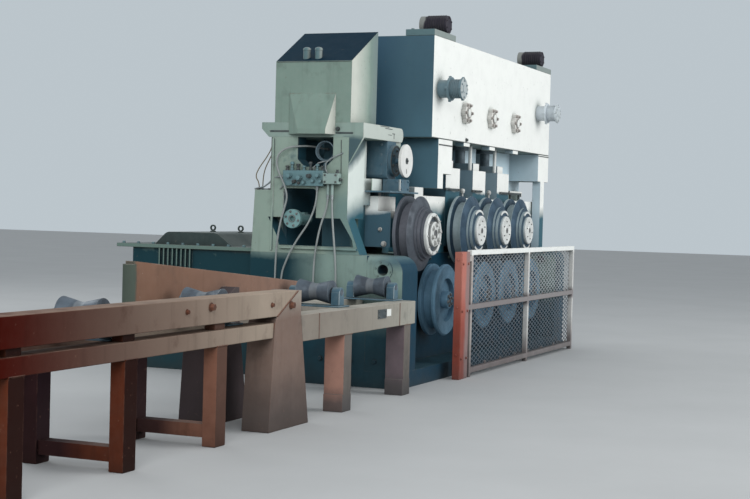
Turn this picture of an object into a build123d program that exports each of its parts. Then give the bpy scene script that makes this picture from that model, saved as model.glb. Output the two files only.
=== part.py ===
"""Tube straightening machine with its in-feed roller tables, in millimetres.

The origin is on the floor under the pass line, at the entry end of the bed. +X runs along the pass line
towards the exit, +Y to the drive side and +Z up, so the operator stands on the -Y side.
"""
from build123d import *
from math import radians, tan
import os

os.makedirs("parts", exist_ok=True)

# Pass line and running clearances
pass_height = 1075.0
tube_diameter = 80.0
tube_clearance = 10.0
running_gap = 0.5
chock_side_gap = 8.0

# Rolls
roll_1_x = 760.0
roll_2_x = 2250.0
roll_pitch = 855.0
lower_roll_1_x = 1470.0
roll_opening = 30.0
roll_radius = 355.0
roll_back = 100.0
roll_front = -60.0
groove_depth = 65.0
groove_side_gap = 4.0
groove_flank = 10.0
tread_chamfer_width = 15.0
tread_chamfer_depth = 30.0
bevel_depth = 32.0
bevel_drop = 70.0
hub_face = -170.0
collar_1_radius = 255.0
collar_1_face = -112.0
collar_2_radius = 215.0
collar_2_face = -142.0
collar_2_extra = 20.0
hub_radius = 155.0
big_hub_radius = 200.0
rim_inner_radius = 215.0
rim_recess = 45.0
boss_radius = 85.0
boss_face = -120.0
roll_shaft_radius = 85.0
roll_shaft_reach = 300.0
shaft_end_gap = 10.0

# Bed
bed_height = 1200.0
bed_front = 160.0
bed_back = 1350.0
exit_clearance = 307.5
end_block_length = 380.0
end_block_front = -190.0
end_block_radius = 150.0
end_block_nose = 70.0
sump_height = 150.0
bearing_ring_width = 75.0
bearing_ring_thickness = 28.0

# Entry stand, with its heights counted from the top of the bed
stand_length = 1150.0
stand_near = 370.0
stand_far = 1160.0
stand_foot = 235.0
stand_height = 1075.0
stand_wall = 180.0
cheek_thickness = 90.0
cheek_length = 375.0
cheek_lift = 330.0
stand_column_inset = 50.0
stand_web_gap = 140.0
shoulder_foot = 1345.0
shoulder_top_y = 1320.0
shoulder_height = 580.0
shoulder_length = 520.0
upper_window = (527.0, 885.0)
upper_window_depth = 275.0
upper_window_chamfer = 70.0
lower_window = (685.0, 1023.0)
lower_window_lift = 600.0
lower_window_radius = 35.0
flare_top = (440.0, 1176.0)
flare_waist = (315.0, 1078.0)
flare_waist_lift = (138.0, 151.0)
flare_foot = (303.0, 1055.0)
flare_foot_lift = 70.0
sill_strip = (260.0, 1039.0)
sill_strip_lift = 41.0
sill_strip_height = 18.0
sill_strip_depth = 30.0
stand_rib = (1125.0, 1145.0)
stand_rib_margin = (19.0, 12.0)
stand_rib_depth = 12.0

# Round cover on the stub shaft in the lower opening
cover_y = 928.0
cover_lift = 318.0
cover_outer_radius = 88.0
cover_disc = 50.0
cover_shaft_radius = 45.0
cover_shaft_length = 350.0
cover_hole_radius = 24.0
cover_hole_depth = 40.0
cover_lug_length = 80.0
cover_lug_height = 120.0

# Manifold on the front of the stand
manifold_lift = (624.0, 765.0)
manifold_span = (592.0, 1003.0)
manifold_depth = 60.0
valve_lift = (644.0, 742.0)
valve_span = (434.0, 577.0)
valve_depth = 100.0
nipple_radius = 13.0
nipple_length = 100.0
nipple_y = (503.0, 544.0)
hose_plane = -50.0
rail_span = (420.0, 1090.0)
rail_height = 50.0
rail_depth = 80.0
rail_drop = 300.0

# Hoses
hose_diameter = 18.0
thin_hose_diameter = 10.0

# Cross-head and head box above the entry stand
cross_near = 230.0
cross_far = 1262.0
cross_height = 135.0
cross_length = 985.0
cross_chamfer = 75.0
cross_end_radius = 60.0
gusset_height = 240.0
gusset_thickness = 30.0
hanger_near = 250.0
hanger_far = 500.0
hanger_height = 60.0
hanger_radius = 40.0
head_near = 360.0
head_far = 1130.0
head_length = 600.0
head_front_height = 565.0
head_back_height = 895.0
head_cap_x = 70.0
head_cap_offset = (370.0, 490.0)
head_cap_radius = 32.0
head_cap_height = 90.0
hood_base = (512.0, 985.0)
hood_lift = 25.0
hood_height = 381.0
hood_reach = 110.0
hood_front = (563.0, 846.0)
hood_lip = 40.0

# Chocks and their screws
chock_front = 160.0
chock_depth = 400.0
chock_width = 430.0
chock_floor_gap = 70.0
chock_height = 810.0
chock_1_height = 340.0
chock_1_head_front = 290.0
chock_1_head_height = 140.0
nut_size = 200.0
nut_height = 80.0
nut_inset = 40.0
screw_radius = 55.0
screw_y = 390.0
screw_socket = 200.0
screw_engagement = 95.0
screw_spare = 45.0
screw_collar_height = 45.0
screw_collar_radius = 99.0
rod_radius = 20.0
rod_offset = 150.0
rod_y = 220.0

# Main housing and beam
housing_start = 1491.0
housing_column_front = 420.0
housing_wall_front = 620.0
housing_back = 950.0
housing_height = 1150.0
housing_step_height = 575.0
leg_front = 50.0
entry_leg_length = 412.0
entry_leg_drop = 350.0
entry_foot_length = 159.0
entry_foot_drop = 500.0
exit_leg_length = 433.0
exit_leg_drop = 330.0
exit_strut_offset = 113.0
exit_strut_length = 160.0
exit_strut_depth = 100.0
beam_start = 1300.0
beam_height = 1005.0
beam_pad_width = 190.0
beam_pad_height = 40.0
beam_pad_offset = 100.0
cover_radius = 118.0
cover_height = 305.0
cover_thickness = 45.0
cover_lobes = 6
cover_core_radius = 94.0
cover_lobe_radius = 28.0
face_motor_height = 490.0
face_motor_inset = (190.0, 515.0)
face_motor_radius = 88.0
face_motor_length = 230.0
face_collar_radius = 118.0
face_end_radius = 106.0
face_collar_width = 24.0
face_collar_place = 104.0
roof_plate_length = 620.0
roof_plate_depth = 310.0
roof_plate_thickness = 62.0
roof_motor_radius = 90.0
roof_motor_length = 290.0
roof_motor_inset = (424.0, 370.0)
roof_motor_setback = 10.0
roof_foot_width = 114.0
roof_foot_length = 203.0
roof_foot_height = 45.0

# Screwdown gear of the first upper roll
case_start = -160.0
case_end = 60.0
case_front = 235.0
case_back = 545.0
case_height = 362.0
case_corner_radius = 50.0
case_box = (-120.0, 120.0)
case_box_front = 115.0
case_box_back = 290.0
case_box_overlap = 2.0
shelf_reach = 360.0
shelf_front = 110.0
shelf_drop = 490.0
shelf_thickness = 15.0
worm_drop = 183.0
worm_radius = 30.0
pulley_radius = 150.0
pulley_face = 205.0
pulley_thickness = 40.0
handwheel_radius = 158.0
handwheel_face = 120.0
handwheel_thickness = 24.0
handwheel_boss_radius = 48.0
handwheel_boss_length = 20.0
handwheel_slot_drop = 100.0
handwheel_slot_length = 46.0
handwheel_slot_width = 22.0
ledge_lift = 535.0
ledge_thickness = 40.0
ledge_depth = 100.0
ledge_block_length = 240.0
ledge_block_height = 80.0

# Reducer beside the bed
reducer_start = 300.0
reducer_length = 1500.0
reducer_depth = 1470.0
reducer_split_drop = 10.0
split_flange = 36.0
split_overhang = 165.0
split_lip = 40.0
dome_near = 392.0
dome_far = 1253.0
dome_height = 125.0
dome_slope = (170.0, 130.0)
dome_round = 90.0
dome_inset = 60.0
reducer_rib = 14.0
reducer_rib_pitch = 49.0
reducer_rib_count = 8
reducer_rib_first = 803.0
reducer_rib_height = 190.0
reducer_rib_depth = 36.0

# Entry table, with its heights counted down from the pass line
table_start = -6300.0
table_half_width = 370.0
table_beam_width = 180.0
table_drop = 70.0
table_beam_height = 175.0
spacer_height = 45.0
spacer_inset = 30.0
spacer_depth = 80.0
lower_beam_height = 110.0
lower_beam_inset = 10.0
mitre_top_x = -2550.0
mitre_bottom_x = -2880.0
leg_pitch = 1136.0
last_leg_x = -3679.0
leg_count = 3
leg_length = 140.0
leg_depth = 100.0
tie_height = 90.0
tie_width = 110.0
tie_lift = 60.0
post_foot = (-2980.0, -2310.0)
post_shoulder_x = -2910.0
post_neck_x = -2480.0
post_depth = 220.0
board_start = -3788.0
board_end = -1210.0
board_rise = 218.0
board_near = 270.0
board_thickness = 70.0
board_nose_radius = 48.0
board_nose_drop = 20.0

# Short table in front of the bed
short_drop = 255.0
short_beam_height = 200.0
short_end = -120.0
short_leg_x = (-1585.0, -290.0)
short_leg_length = 150.0
short_leg_inset = 5.0
short_foot_height = 140.0
short_foot_margin = 12.0

# V-rollers
table_roller_x = (-6110.0, -4800.0, -3290.0)
short_roller_x = (-1430.0, -245.0)
v_roller_drop = 137.0
v_half_width = 143.0
v_half_floor = 12.0
v_core_radius = 68.0
v_rim_radius = 98.0
v_shaft_radius = 25.0
bearing_side_gap = 5.0
short_bearing_inner = 155.0
short_bearing_width = 75.0
table_bearing_width = 41.0
bearing_length = 100.0
bearing_cap_radius = 42.0
cross_plate_length = 220.0
cross_plate_thickness = 12.0
cross_plate_half = 255.0

# Guard
guard_start = 1090.0
guard_post_length = 240.0
guard_post_drop = 15.0
guard_post_depth = 70.0
guard_gap = 60.0
guard_length = 3780.0
guard_height = 1250.0
guard_bottom = 40.0
guard_bar = 50.0
guard_mid_height = 690.0
guard_clip_drop = 60.0
guard_mullion_offset = 1900.0
mesh_thickness = 6.0
mesh_overlap = 20.0

# Positions worked out from the sizes above
groove_half_floor = tube_diameter / 2 + groove_side_gap
core_radius = roll_radius - groove_depth
lower_axis = pass_height - tube_diameter / 2 - core_radius
upper_axis_1 = pass_height + tube_diameter / 2 + core_radius
upper_axis = upper_axis_1 + roll_opening
upper_roll_x = [roll_1_x] + [roll_2_x + roll_pitch * i for i in range(3)]
lower_roll_x = [lower_roll_1_x] + [roll_2_x + roll_pitch * (i + 0.5) for i in range(3)]
bed_length = lower_roll_x[-1] + roll_radius + exit_clearance + end_block_length
cheek_bottom = bed_height + cheek_lift
stand_top = bed_height + stand_height
shoulder_top = bed_height + shoulder_height
upper_window_bottom = stand_top - upper_window_depth
lower_window_top = bed_height + lower_window_lift
cross_bottom = stand_top
cross_top = cross_bottom + cross_height
cover_z = bed_height + cover_lift
worm_height = cross_bottom - worm_drop
main_chock_x = upper_roll_x[1:]
chock_back = chock_front + chock_depth
chock_bottom = bed_height + chock_floor_gap
chock_top = chock_bottom + chock_height
chock_1_top = chock_bottom + chock_1_height + chock_1_head_height
column_half_gap = chock_width / 2 + chock_side_gap
housing_top = bed_height + housing_height
beam_top = housing_top + beam_height
exit_leg_start = bed_length - exit_leg_length
reducer_split = bed_height - reducer_split_drop
table_top = pass_height - table_drop
table_beam_bottom = table_top - table_beam_height
lower_beam_top = table_beam_bottom - spacer_height
lower_beam_bottom = lower_beam_top - lower_beam_height
table_inner = table_half_width - table_beam_width
table_bearing_inner = v_half_width + bearing_side_gap
short_top = pass_height - short_drop
short_bottom = short_top - short_beam_height
board_high = table_top + board_rise
v_axis = pass_height - v_roller_drop
v_roller_x = table_roller_x + short_roller_x
leg_x = [last_leg_x - leg_pitch * i for i in range(leg_count)]
guard_frame_start = guard_start + guard_post_length + guard_gap + guard_bar
guard_frame_end = guard_frame_start + guard_length
guard_mullion_x = guard_frame_start + guard_mullion_offset


def write(part, name):
    """Label a finished part and write it to the parts folder."""
    part.label = name
    export_step(part, f"parts/{name}.step")


def post_edge(z):
    """Return the x of the end post's sloping entry edge at height z."""
    return post_foot[0] + (post_shoulder_x - post_foot[0]) * z / lower_beam_top


def post_exit_edge(z):
    """Return the x of the end post's sloping exit edge at height z."""
    return post_foot[1] + (post_neck_x - post_foot[1]) * z / short_top


def side_plane(x, z=0.0):
    """Plane across the pass line at x: its own x is +Y and its own y is +Z."""
    return Plane(origin=(x, 0, z), x_dir=(0, 1, 0), z_dir=(1, 0, 0))


def front_plane(y, x=0.0, z=0.0):
    """Plane along the pass line at y: its own x is +X, its own y is +Z and it faces -Y."""
    return Plane(origin=(x, y, z), x_dir=(1, 0, 0), z_dir=(0, -1, 0))


def hose(name, points, diameter):
    """Sweep a hose along its points, each corner rounded over 0.45 of its shorter run, and write it."""
    radii = []
    for before, corner, after in zip(points, points[1:], points[2:]):
        run_in = Vector(*corner) - Vector(*before)
        run_out = Vector(*after) - Vector(*corner)
        half_turn = radians(run_in.get_angle(run_out)) / 2
        radii.append(0.45 * min(run_in.length, run_out.length) / tan(half_turn))
    with BuildPart() as hose_part:
        with BuildLine() as route:
            FilletPolyline(*points, radius=radii)
        with BuildSketch(Plane(origin=route.wire() @ 0, z_dir=route.wire() % 0)):
            Circle(diameter / 2)
        sweep()
    write(hose_part.part, name)


# Bed: the cross-section with its sump before the rolls
with BuildPart() as bed:
    with BuildSketch(side_plane(0)):
        with BuildLine():
            Polyline(
                (end_block_front, 0), (bed_back, 0), (bed_back, bed_height), (bed_front, bed_height),
                (bed_front, sump_height), (end_block_front, sump_height), close=True,
            )
        make_face()
    extrude(amount=bed_length)
    for x in lower_roll_x:
        with BuildSketch(front_plane(bed_front, x, lower_axis)):
            Circle(roll_shaft_radius + running_gap)
        extrude(amount=-(roll_back + roll_shaft_reach - bed_front + shaft_end_gap), mode=Mode.SUBTRACT)
write(bed.part, "bed")

# End blocks of the bed: rounded over at the front and towards the tables, with the bore for the tube
with BuildPart() as bed_end_blocks:
    block_start = (0, bed_length - end_block_length)
    with BuildSketch(side_plane(block_start[0]), side_plane(block_start[1])):
        with BuildLine():
            Line((bed_front, sump_height), (end_block_front, sump_height))
            Line((end_block_front, sump_height), (end_block_front, bed_height - end_block_radius))
            RadiusArc(
                (end_block_front, bed_height - end_block_radius),
                (end_block_front + end_block_radius, bed_height), end_block_radius,
            )
            Line((end_block_front + end_block_radius, bed_height), (bed_front, bed_height))
            Line((bed_front, bed_height), (bed_front, sump_height))
        make_face()
    extrude(amount=end_block_length)
    with BuildSketch(side_plane(block_start[0]), side_plane(block_start[1])):
        with Locations((0, pass_height)):
            Circle(tube_diameter / 2 + tube_clearance)
    extrude(amount=end_block_length, mode=Mode.SUBTRACT)
    with BuildSketch(front_plane(end_block_front)):
        for x, inwards in ((0, 1), (bed_length, -1)):
            with Locations((x + inwards * end_block_nose / 2, bed_height - end_block_nose / 2)):
                Rectangle(end_block_nose, end_block_nose)
            with Locations((x + inwards * end_block_nose, bed_height - end_block_nose)):
                Circle(end_block_nose, mode=Mode.SUBTRACT)
    extrude(amount=-(bed_front - end_block_front), mode=Mode.SUBTRACT)
write(bed_end_blocks.part, "bed_end_blocks")

# Bearing rings of the lower rolls on the front of the bed
with BuildPart() as lower_bearings:
    for x in lower_roll_x:
        with BuildSketch(front_plane(bed_front, x, lower_axis)):
            Circle(roll_shaft_radius + bearing_ring_width)
            Circle(roll_shaft_radius + running_gap, mode=Mode.SUBTRACT)
        extrude(amount=bearing_ring_thickness)
write(lower_bearings.part, "lower_bearings")

# Entry stand: the end frame with its two openings, cheeks, guide columns and back wall
stand_columns = ((cheek_length, roll_1_x - column_half_gap), (roll_1_x + column_half_gap, stand_length))
stand_column_front = stand_near + stand_column_inset
stand_web_front = chock_back + stand_web_gap
with BuildPart() as entry_stand:
    with BuildSketch(side_plane(0)):
        with BuildLine():
            Polyline(
                (stand_near, cheek_bottom), (stand_near, stand_top), (stand_far, stand_top),
                (stand_far, shoulder_top), (shoulder_top_y, shoulder_top),
                (shoulder_foot, bed_height), (stand_foot, bed_height), close=True,
            )
        make_face()
        with BuildLine():
            Polyline(
                (upper_window[0], stand_top), (upper_window[1], stand_top),
                (upper_window[1], upper_window_bottom + upper_window_chamfer),
                (upper_window[1] - upper_window_chamfer, upper_window_bottom),
                (upper_window[0] + upper_window_chamfer, upper_window_bottom),
                (upper_window[0], upper_window_bottom + upper_window_chamfer), close=True,
            )
        make_face(mode=Mode.SUBTRACT)
        window_foot = cheek_bottom - lower_window_radius
        with Locations((sum(lower_window) / 2, (lower_window_top + window_foot) / 2)):
            RectangleRounded(
                lower_window[1] - lower_window[0], lower_window_top - window_foot,
                lower_window_radius, mode=Mode.SUBTRACT,
            )
        with BuildLine():
            Polyline(
                (flare_top[0], cheek_bottom), (flare_top[1], cheek_bottom),
                (flare_waist[1], bed_height + flare_waist_lift[1]),
                (flare_foot[1], bed_height + flare_foot_lift),
                (flare_foot[0], bed_height + flare_foot_lift),
                (flare_waist[0], bed_height + flare_waist_lift[0]), close=True,
            )
        make_face(mode=Mode.SUBTRACT)
    extrude(amount=stand_wall)
    with BuildSketch(Plane.XY.offset(bed_height)):
        with Locations((stand_wall, stand_far - cheek_thickness)):
            Rectangle(stand_length - stand_wall, cheek_thickness, align=(Align.MIN, Align.MIN))
        with Locations((cheek_length, stand_web_front)):
            Rectangle(stand_length - cheek_length, cheek_thickness, align=(Align.MIN, Align.MIN))
        for x0, x1 in stand_columns:
            with Locations((x0, stand_column_front)):
                Rectangle(x1 - x0, stand_web_front - stand_column_front, align=(Align.MIN, Align.MIN))
    extrude(amount=stand_height)
    with BuildSketch(Plane.XY.offset(cheek_bottom)):
        with Locations((stand_wall, stand_near)):
            Rectangle(cheek_length - stand_wall, cheek_thickness, align=(Align.MIN, Align.MIN))
    extrude(amount=stand_top - cheek_bottom)
    with BuildSketch(side_plane(stand_wall)):
        with BuildLine():
            Polyline(
                (stand_far, bed_height), (shoulder_foot, bed_height),
                (shoulder_top_y, shoulder_top), (stand_far, shoulder_top), close=True,
            )
        make_face()
    extrude(amount=shoulder_length)
    with BuildSketch(side_plane(0, bed_height + sill_strip_lift)):
        with Locations((sill_strip[0], 0)):
            Rectangle(sill_strip[1] - sill_strip[0], sill_strip_height, align=(Align.MIN, Align.MIN))
    extrude(amount=-sill_strip_depth)
    with BuildSketch(side_plane(0, bed_height + stand_rib_margin[0])):
        with Locations((stand_rib[0], 0)):
            Rectangle(
                stand_rib[1] - stand_rib[0], stand_height - sum(stand_rib_margin),
                align=(Align.MIN, Align.MIN),
            )
    extrude(amount=-stand_rib_depth)
write(entry_stand.part, "entry_stand")

# Cross-head: the flange plate over the stand, rounded at its exit end, with a gusset and a hanging block
with BuildPart() as cross_head:
    with BuildSketch(side_plane(0)):
        with BuildLine():
            Polyline(
                (cross_near, cross_bottom), (cross_far - cross_chamfer, cross_bottom),
                (cross_far, cross_bottom + cross_chamfer), (cross_far, cross_top),
                (cross_near, cross_top), close=True,
            )
        make_face()
    extrude(amount=cross_length)
    fillet(cross_head.edges().filter_by(Axis.Y).group_by(Axis.X)[-1], cross_end_radius)
    with BuildSketch(side_plane(0)):
        with BuildLine():
            Polyline(
                (cross_near, cross_bottom), (stand_near, cross_bottom),
                (stand_near, cross_bottom - gusset_height), close=True,
            )
        make_face()
    extrude(amount=gusset_thickness)
    hanger_end = roll_1_x + column_half_gap - chock_side_gap
    with BuildSketch(front_plane(hanger_near, roll_1_x, cross_bottom)):
        with Locations((case_end, -hanger_height)):
            Rectangle(hanger_end - roll_1_x - case_end, hanger_height, align=(Align.MIN, Align.MIN))
    extrude(amount=-(hanger_far - hanger_near))
    fillet(
        cross_head.edges().filter_by(Axis.Y).group_by(Axis.Z)[0].sort_by(Axis.X)[-1], hanger_radius,
    )
write(cross_head.part, "cross_head")

# Head box with its sloped roof and two caps behind the front edge
with BuildPart() as head_box:
    with BuildSketch(front_plane(head_near, z=cross_top)):
        with BuildLine():
            Polyline(
                (0, 0), (head_length, 0), (head_length, head_back_height), (0, head_front_height), close=True,
            )
        make_face()
    extrude(amount=-(head_far - head_near))
    with BuildSketch(Plane.XY.offset(cross_top + head_front_height)):
        with Locations([(head_cap_x, head_near + offset) for offset in head_cap_offset]):
            Circle(head_cap_radius)
    extrude(amount=head_cap_height)
write(head_box.part, "head_box")

# Flared hood on the front of the head box
hood_bottom = cross_bottom + hood_lift
with BuildPart() as head_hood:
    with BuildSketch(side_plane(0, hood_bottom)):
        with Locations((sum(hood_base) / 2, hood_height / 2)):
            Rectangle(hood_base[1] - hood_base[0], hood_height)
    with BuildSketch(side_plane(-hood_reach, hood_bottom)):
        with Locations((sum(hood_front) / 2, hood_lip / 2)):
            Rectangle(hood_front[1] - hood_front[0], hood_lip)
    loft()
write(head_hood.part, "head_hood")

# Screwdown gear case over the first chock, with its screw, lower box, shelf, pulley and worm shaft
case_bottom = cross_bottom - case_height
shelf_bottom = cross_bottom - shelf_drop
shelf_top = shelf_bottom + shelf_thickness
with BuildPart() as screwdown_case:
    with BuildSketch(front_plane(case_front, roll_1_x, case_bottom)):
        with Locations((case_start, 0)):
            Rectangle(case_end - case_start, case_height, align=(Align.MIN, Align.MIN))
        fillet(vertices().group_by(Axis.Y)[0].sort_by(Axis.X)[0], case_corner_radius)
    extrude(amount=-(case_back - case_front))
    with BuildSketch(front_plane(case_box_front, roll_1_x, shelf_top)):
        with Locations((case_box[0], 0)):
            Rectangle(
                case_box[1] - case_box[0], case_bottom + case_box_overlap - shelf_top,
                align=(Align.MIN, Align.MIN),
            )
    extrude(amount=-(case_box_back - case_box_front))
    with BuildSketch(Plane.XY.offset(shelf_bottom)):
        with Locations((roll_1_x, shelf_front)):
            Rectangle(
                2 * shelf_reach, stand_column_front - shelf_front, align=(Align.CENTER, Align.MIN),
            )
    extrude(amount=shelf_thickness)
    with BuildSketch(Plane.XY.offset(chock_1_top - screw_engagement)):
        with Locations((roll_1_x, screw_y)):
            Circle(screw_radius)
    extrude(amount=case_bottom + case_corner_radius - chock_1_top + screw_engagement)
    with BuildSketch(front_plane(pulley_face, roll_1_x, worm_height)):
        Circle(pulley_radius)
    extrude(amount=-pulley_thickness)
    with BuildSketch(front_plane(pulley_face, roll_1_x, worm_height)):
        Circle(worm_radius)
    extrude(amount=pulley_face - handwheel_face)
write(screwdown_case.part, "screwdown_case")

# Handwheel: a flat disc with a small slot, on the end of the worm shaft
with BuildPart() as handwheel:
    with BuildSketch(front_plane(handwheel_face, roll_1_x, worm_height)):
        Circle(handwheel_radius)
    extrude(amount=handwheel_thickness)
    with BuildSketch(front_plane(handwheel_face, roll_1_x, worm_height)):
        Circle(handwheel_boss_radius)
    extrude(amount=-handwheel_boss_length)
    with BuildSketch(front_plane(handwheel_face + handwheel_boss_length, roll_1_x, worm_height)):
        Circle(worm_radius + running_gap)
    extrude(amount=handwheel_boss_length + handwheel_thickness, mode=Mode.SUBTRACT)
    with BuildSketch(front_plane(handwheel_face, roll_1_x, worm_height - handwheel_slot_drop)):
        SlotOverall(handwheel_slot_length, handwheel_slot_width, rotation=90)
    extrude(amount=handwheel_thickness, mode=Mode.SUBTRACT)
write(handwheel.part, "handwheel")

# Chock of the first upper roll, stepped back above the roll
shaft_bore_depth = roll_back + roll_shaft_reach - chock_front + shaft_end_gap
with BuildPart() as chock_1:
    with BuildSketch(Plane.XY.offset(chock_bottom)):
        with Locations((roll_1_x, chock_front + chock_depth / 2)):
            Rectangle(chock_width, chock_depth)
    extrude(amount=chock_1_height)
    with BuildSketch(Plane.XY.offset(chock_bottom + chock_1_height)):
        with Locations((roll_1_x, chock_1_head_front)):
            Rectangle(chock_width, chock_back - chock_1_head_front, align=(Align.CENTER, Align.MIN))
    extrude(amount=chock_1_head_height)
    with BuildSketch(front_plane(chock_front, roll_1_x, upper_axis_1)):
        Circle(roll_shaft_radius + running_gap)
    extrude(amount=-shaft_bore_depth, mode=Mode.SUBTRACT)
    with BuildSketch(Plane.XY.offset(chock_1_top)):
        with Locations((roll_1_x, screw_y)):
            Circle(screw_radius + running_gap)
    extrude(amount=-(screw_engagement + screw_spare), mode=Mode.SUBTRACT)
write(chock_1.part, "chock_1")

# Chocks of the other upper rolls, each with a square nut on top and a socket for its balance rod
for number, x in enumerate(main_chock_x, start=2):
    with BuildPart() as chock:
        with BuildSketch(Plane.XY.offset(chock_bottom)):
            with Locations((x, chock_front + chock_depth / 2)):
                Rectangle(chock_width, chock_depth)
        extrude(amount=chock_height)
        with BuildSketch(Plane.XY.offset(chock_top)):
            with Locations((x, chock_front + nut_inset + nut_size / 2)):
                Rectangle(nut_size, nut_size)
            with Locations((x, screw_y)):
                Circle(nut_size / 2)
        extrude(amount=nut_height)
        with BuildSketch(front_plane(chock_front, x, upper_axis)):
            Circle(roll_shaft_radius + running_gap)
        extrude(amount=-shaft_bore_depth, mode=Mode.SUBTRACT)
        with BuildSketch(Plane.XY.offset(chock_top + nut_height)):
            with Locations((x, screw_y)):
                Circle(screw_radius + running_gap)
        extrude(amount=-(screw_socket + nut_height), mode=Mode.SUBTRACT)
        with BuildSketch(Plane.XY.offset(chock_top)):
            with Locations((x - rod_offset, rod_y)):
                Circle(rod_radius + running_gap)
        extrude(amount=-screw_socket, mode=Mode.SUBTRACT)
    write(chock.part, f"chock_{number}")

# Upper rolls: grooved tread, bevelled front edge, stepped collars, hub disc and shaft
bevel_face = roll_front - bevel_depth
groove_half_mouth = groove_half_floor + groove_flank
for number, x in enumerate(upper_roll_x, start=1):
    axis_z = upper_axis_1 if number == 1 else upper_axis
    disc_radius = big_hub_radius if number == 1 else hub_radius
    inner_radius = (collar_2_radius + collar_2_extra) if number == 1 else collar_2_radius
    with BuildPart() as roll:
        with BuildSketch(side_plane(x, axis_z)):
            with BuildLine():
                Polyline(
                    (hub_face, 0), (hub_face, disc_radius), (collar_2_face, disc_radius),
                    (collar_2_face, inner_radius), (collar_1_face, inner_radius),
                    (collar_1_face, collar_1_radius), (bevel_face, collar_1_radius),
                    (bevel_face, roll_radius - bevel_drop), (roll_front, roll_radius),
                    (-groove_half_mouth, roll_radius), (-groove_half_floor, core_radius),
                    (groove_half_floor, core_radius), (groove_half_mouth, roll_radius),
                    (roll_back - tread_chamfer_width, roll_radius),
                    (roll_back, roll_radius - tread_chamfer_depth), (roll_back, roll_shaft_radius),
                    (roll_back + roll_shaft_reach, roll_shaft_radius), (roll_back + roll_shaft_reach, 0),
                    close=True,
                )
            make_face()
        revolve(axis=Axis((x, 0, axis_z), (0, 1, 0)))
    write(roll.part, f"upper_roll_{number}")

# Lower rolls: grooved tread, a rim round a recessed face, and a shaft
for number, x in enumerate(lower_roll_x, start=1):
    with BuildPart() as roll:
        with BuildSketch(side_plane(x, lower_axis)):
            with BuildLine():
                Polyline(
                    (boss_face, 0), (boss_face, boss_radius), (bevel_face + rim_recess, boss_radius),
                    (bevel_face + rim_recess, rim_inner_radius), (bevel_face, rim_inner_radius),
                    (bevel_face, roll_radius - tread_chamfer_width),
                    (bevel_face + tread_chamfer_width, roll_radius),
                    (-groove_half_mouth, roll_radius), (-groove_half_floor, core_radius),
                    (groove_half_floor, core_radius), (groove_half_mouth, roll_radius),
                    (roll_back - tread_chamfer_width, roll_radius),
                    (roll_back, roll_radius - tread_chamfer_depth), (roll_back, roll_shaft_radius),
                    (roll_back + roll_shaft_reach, roll_shaft_radius), (roll_back + roll_shaft_reach, 0),
                    close=True,
                )
            make_face()
        revolve(axis=Axis((x, 0, lower_axis), (0, 1, 0)))
    write(roll.part, f"lower_roll_{number}")

# Main housing: a comb of guide columns, stepped back above, before a back wall, with two legs and a strut
housing_step = bed_height + housing_step_height
housing_length = bed_length - housing_start
with BuildPart() as main_housing:
    for base, height, front in ((bed_height, housing_step_height, chock_front),
                                (housing_step, housing_top - housing_step, housing_column_front)):
        with BuildSketch(Plane.XY.offset(base)):
            with Locations((housing_start, front)):
                Rectangle(housing_length, housing_back - front, align=(Align.MIN, Align.MIN))
            for x in main_chock_x:
                with Locations((x, front)):
                    Rectangle(
                        2 * column_half_gap, housing_wall_front - front,
                        align=(Align.CENTER, Align.MIN), mode=Mode.SUBTRACT,
                    )
        extrude(amount=height)
    for x, length, drop in ((housing_start, entry_leg_length, entry_leg_drop),
                            (housing_start, entry_foot_length, entry_foot_drop),
                            (exit_leg_start, exit_leg_length, exit_leg_drop)):
        with BuildSketch(Plane.XY.offset(housing_top - drop)):
            with Locations((x, leg_front)):
                Rectangle(length, housing_column_front - leg_front, align=(Align.MIN, Align.MIN))
        extrude(amount=drop)
    with BuildSketch(Plane.XY.offset(bed_height)):
        with Locations((exit_leg_start + exit_strut_offset, leg_front)):
            Rectangle(exit_strut_length, exit_strut_depth, align=(Align.MIN, Align.MIN))
    extrude(amount=housing_height - exit_leg_drop)
write(main_housing.part, "main_housing")

# Main beam: the long box over the housing, with a pad under its front edge beside each screw
with BuildPart() as main_beam:
    with BuildSketch(Plane.XY.offset(housing_top)):
        with Locations((beam_start, leg_front)):
            Rectangle(bed_length - beam_start, housing_back - leg_front, align=(Align.MIN, Align.MIN))
    extrude(amount=beam_height)
    with BuildSketch(Plane.XY.offset(housing_top)):
        for x in main_chock_x:
            with Locations((x + beam_pad_offset, leg_front)):
                Rectangle(beam_pad_width, exit_strut_depth, align=(Align.CENTER, Align.MIN))
    extrude(amount=-beam_pad_height)
write(main_beam.part, "main_beam")

# Screws from the beam into the chocks, and the thin balance rods beside them
with BuildPart() as screws:
    with BuildSketch(Plane.XY.offset(chock_top - screw_engagement)):
        with Locations([(x, screw_y) for x in main_chock_x]):
            Circle(screw_radius)
    extrude(amount=housing_top - chock_top + screw_engagement)
    with BuildSketch(Plane.XY.offset(housing_top)):
        with Locations([(x, screw_y) for x in main_chock_x]):
            Circle(screw_collar_radius)
    extrude(amount=-screw_collar_height)
write(screws.part, "screws")

with BuildPart() as balance_rods:
    with BuildSketch(Plane.XY.offset(chock_top - screw_engagement)):
        with Locations([(x - rod_offset, rod_y) for x in main_chock_x]):
            Circle(rod_radius)
    extrude(amount=housing_top - chock_top + screw_engagement)
write(balance_rods.part, "balance_rods")

# Lobed covers on the face of the beam
with BuildPart() as beam_covers:
    with BuildSketch(front_plane(leg_front)):
        for x in main_chock_x:
            with Locations((x, housing_top + cover_height)):
                Circle(cover_core_radius)
                with PolarLocations(cover_radius - cover_lobe_radius, cover_lobes):
                    Circle(cover_lobe_radius)
    extrude(amount=cover_thickness)
write(beam_covers.part, "beam_covers")

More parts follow.
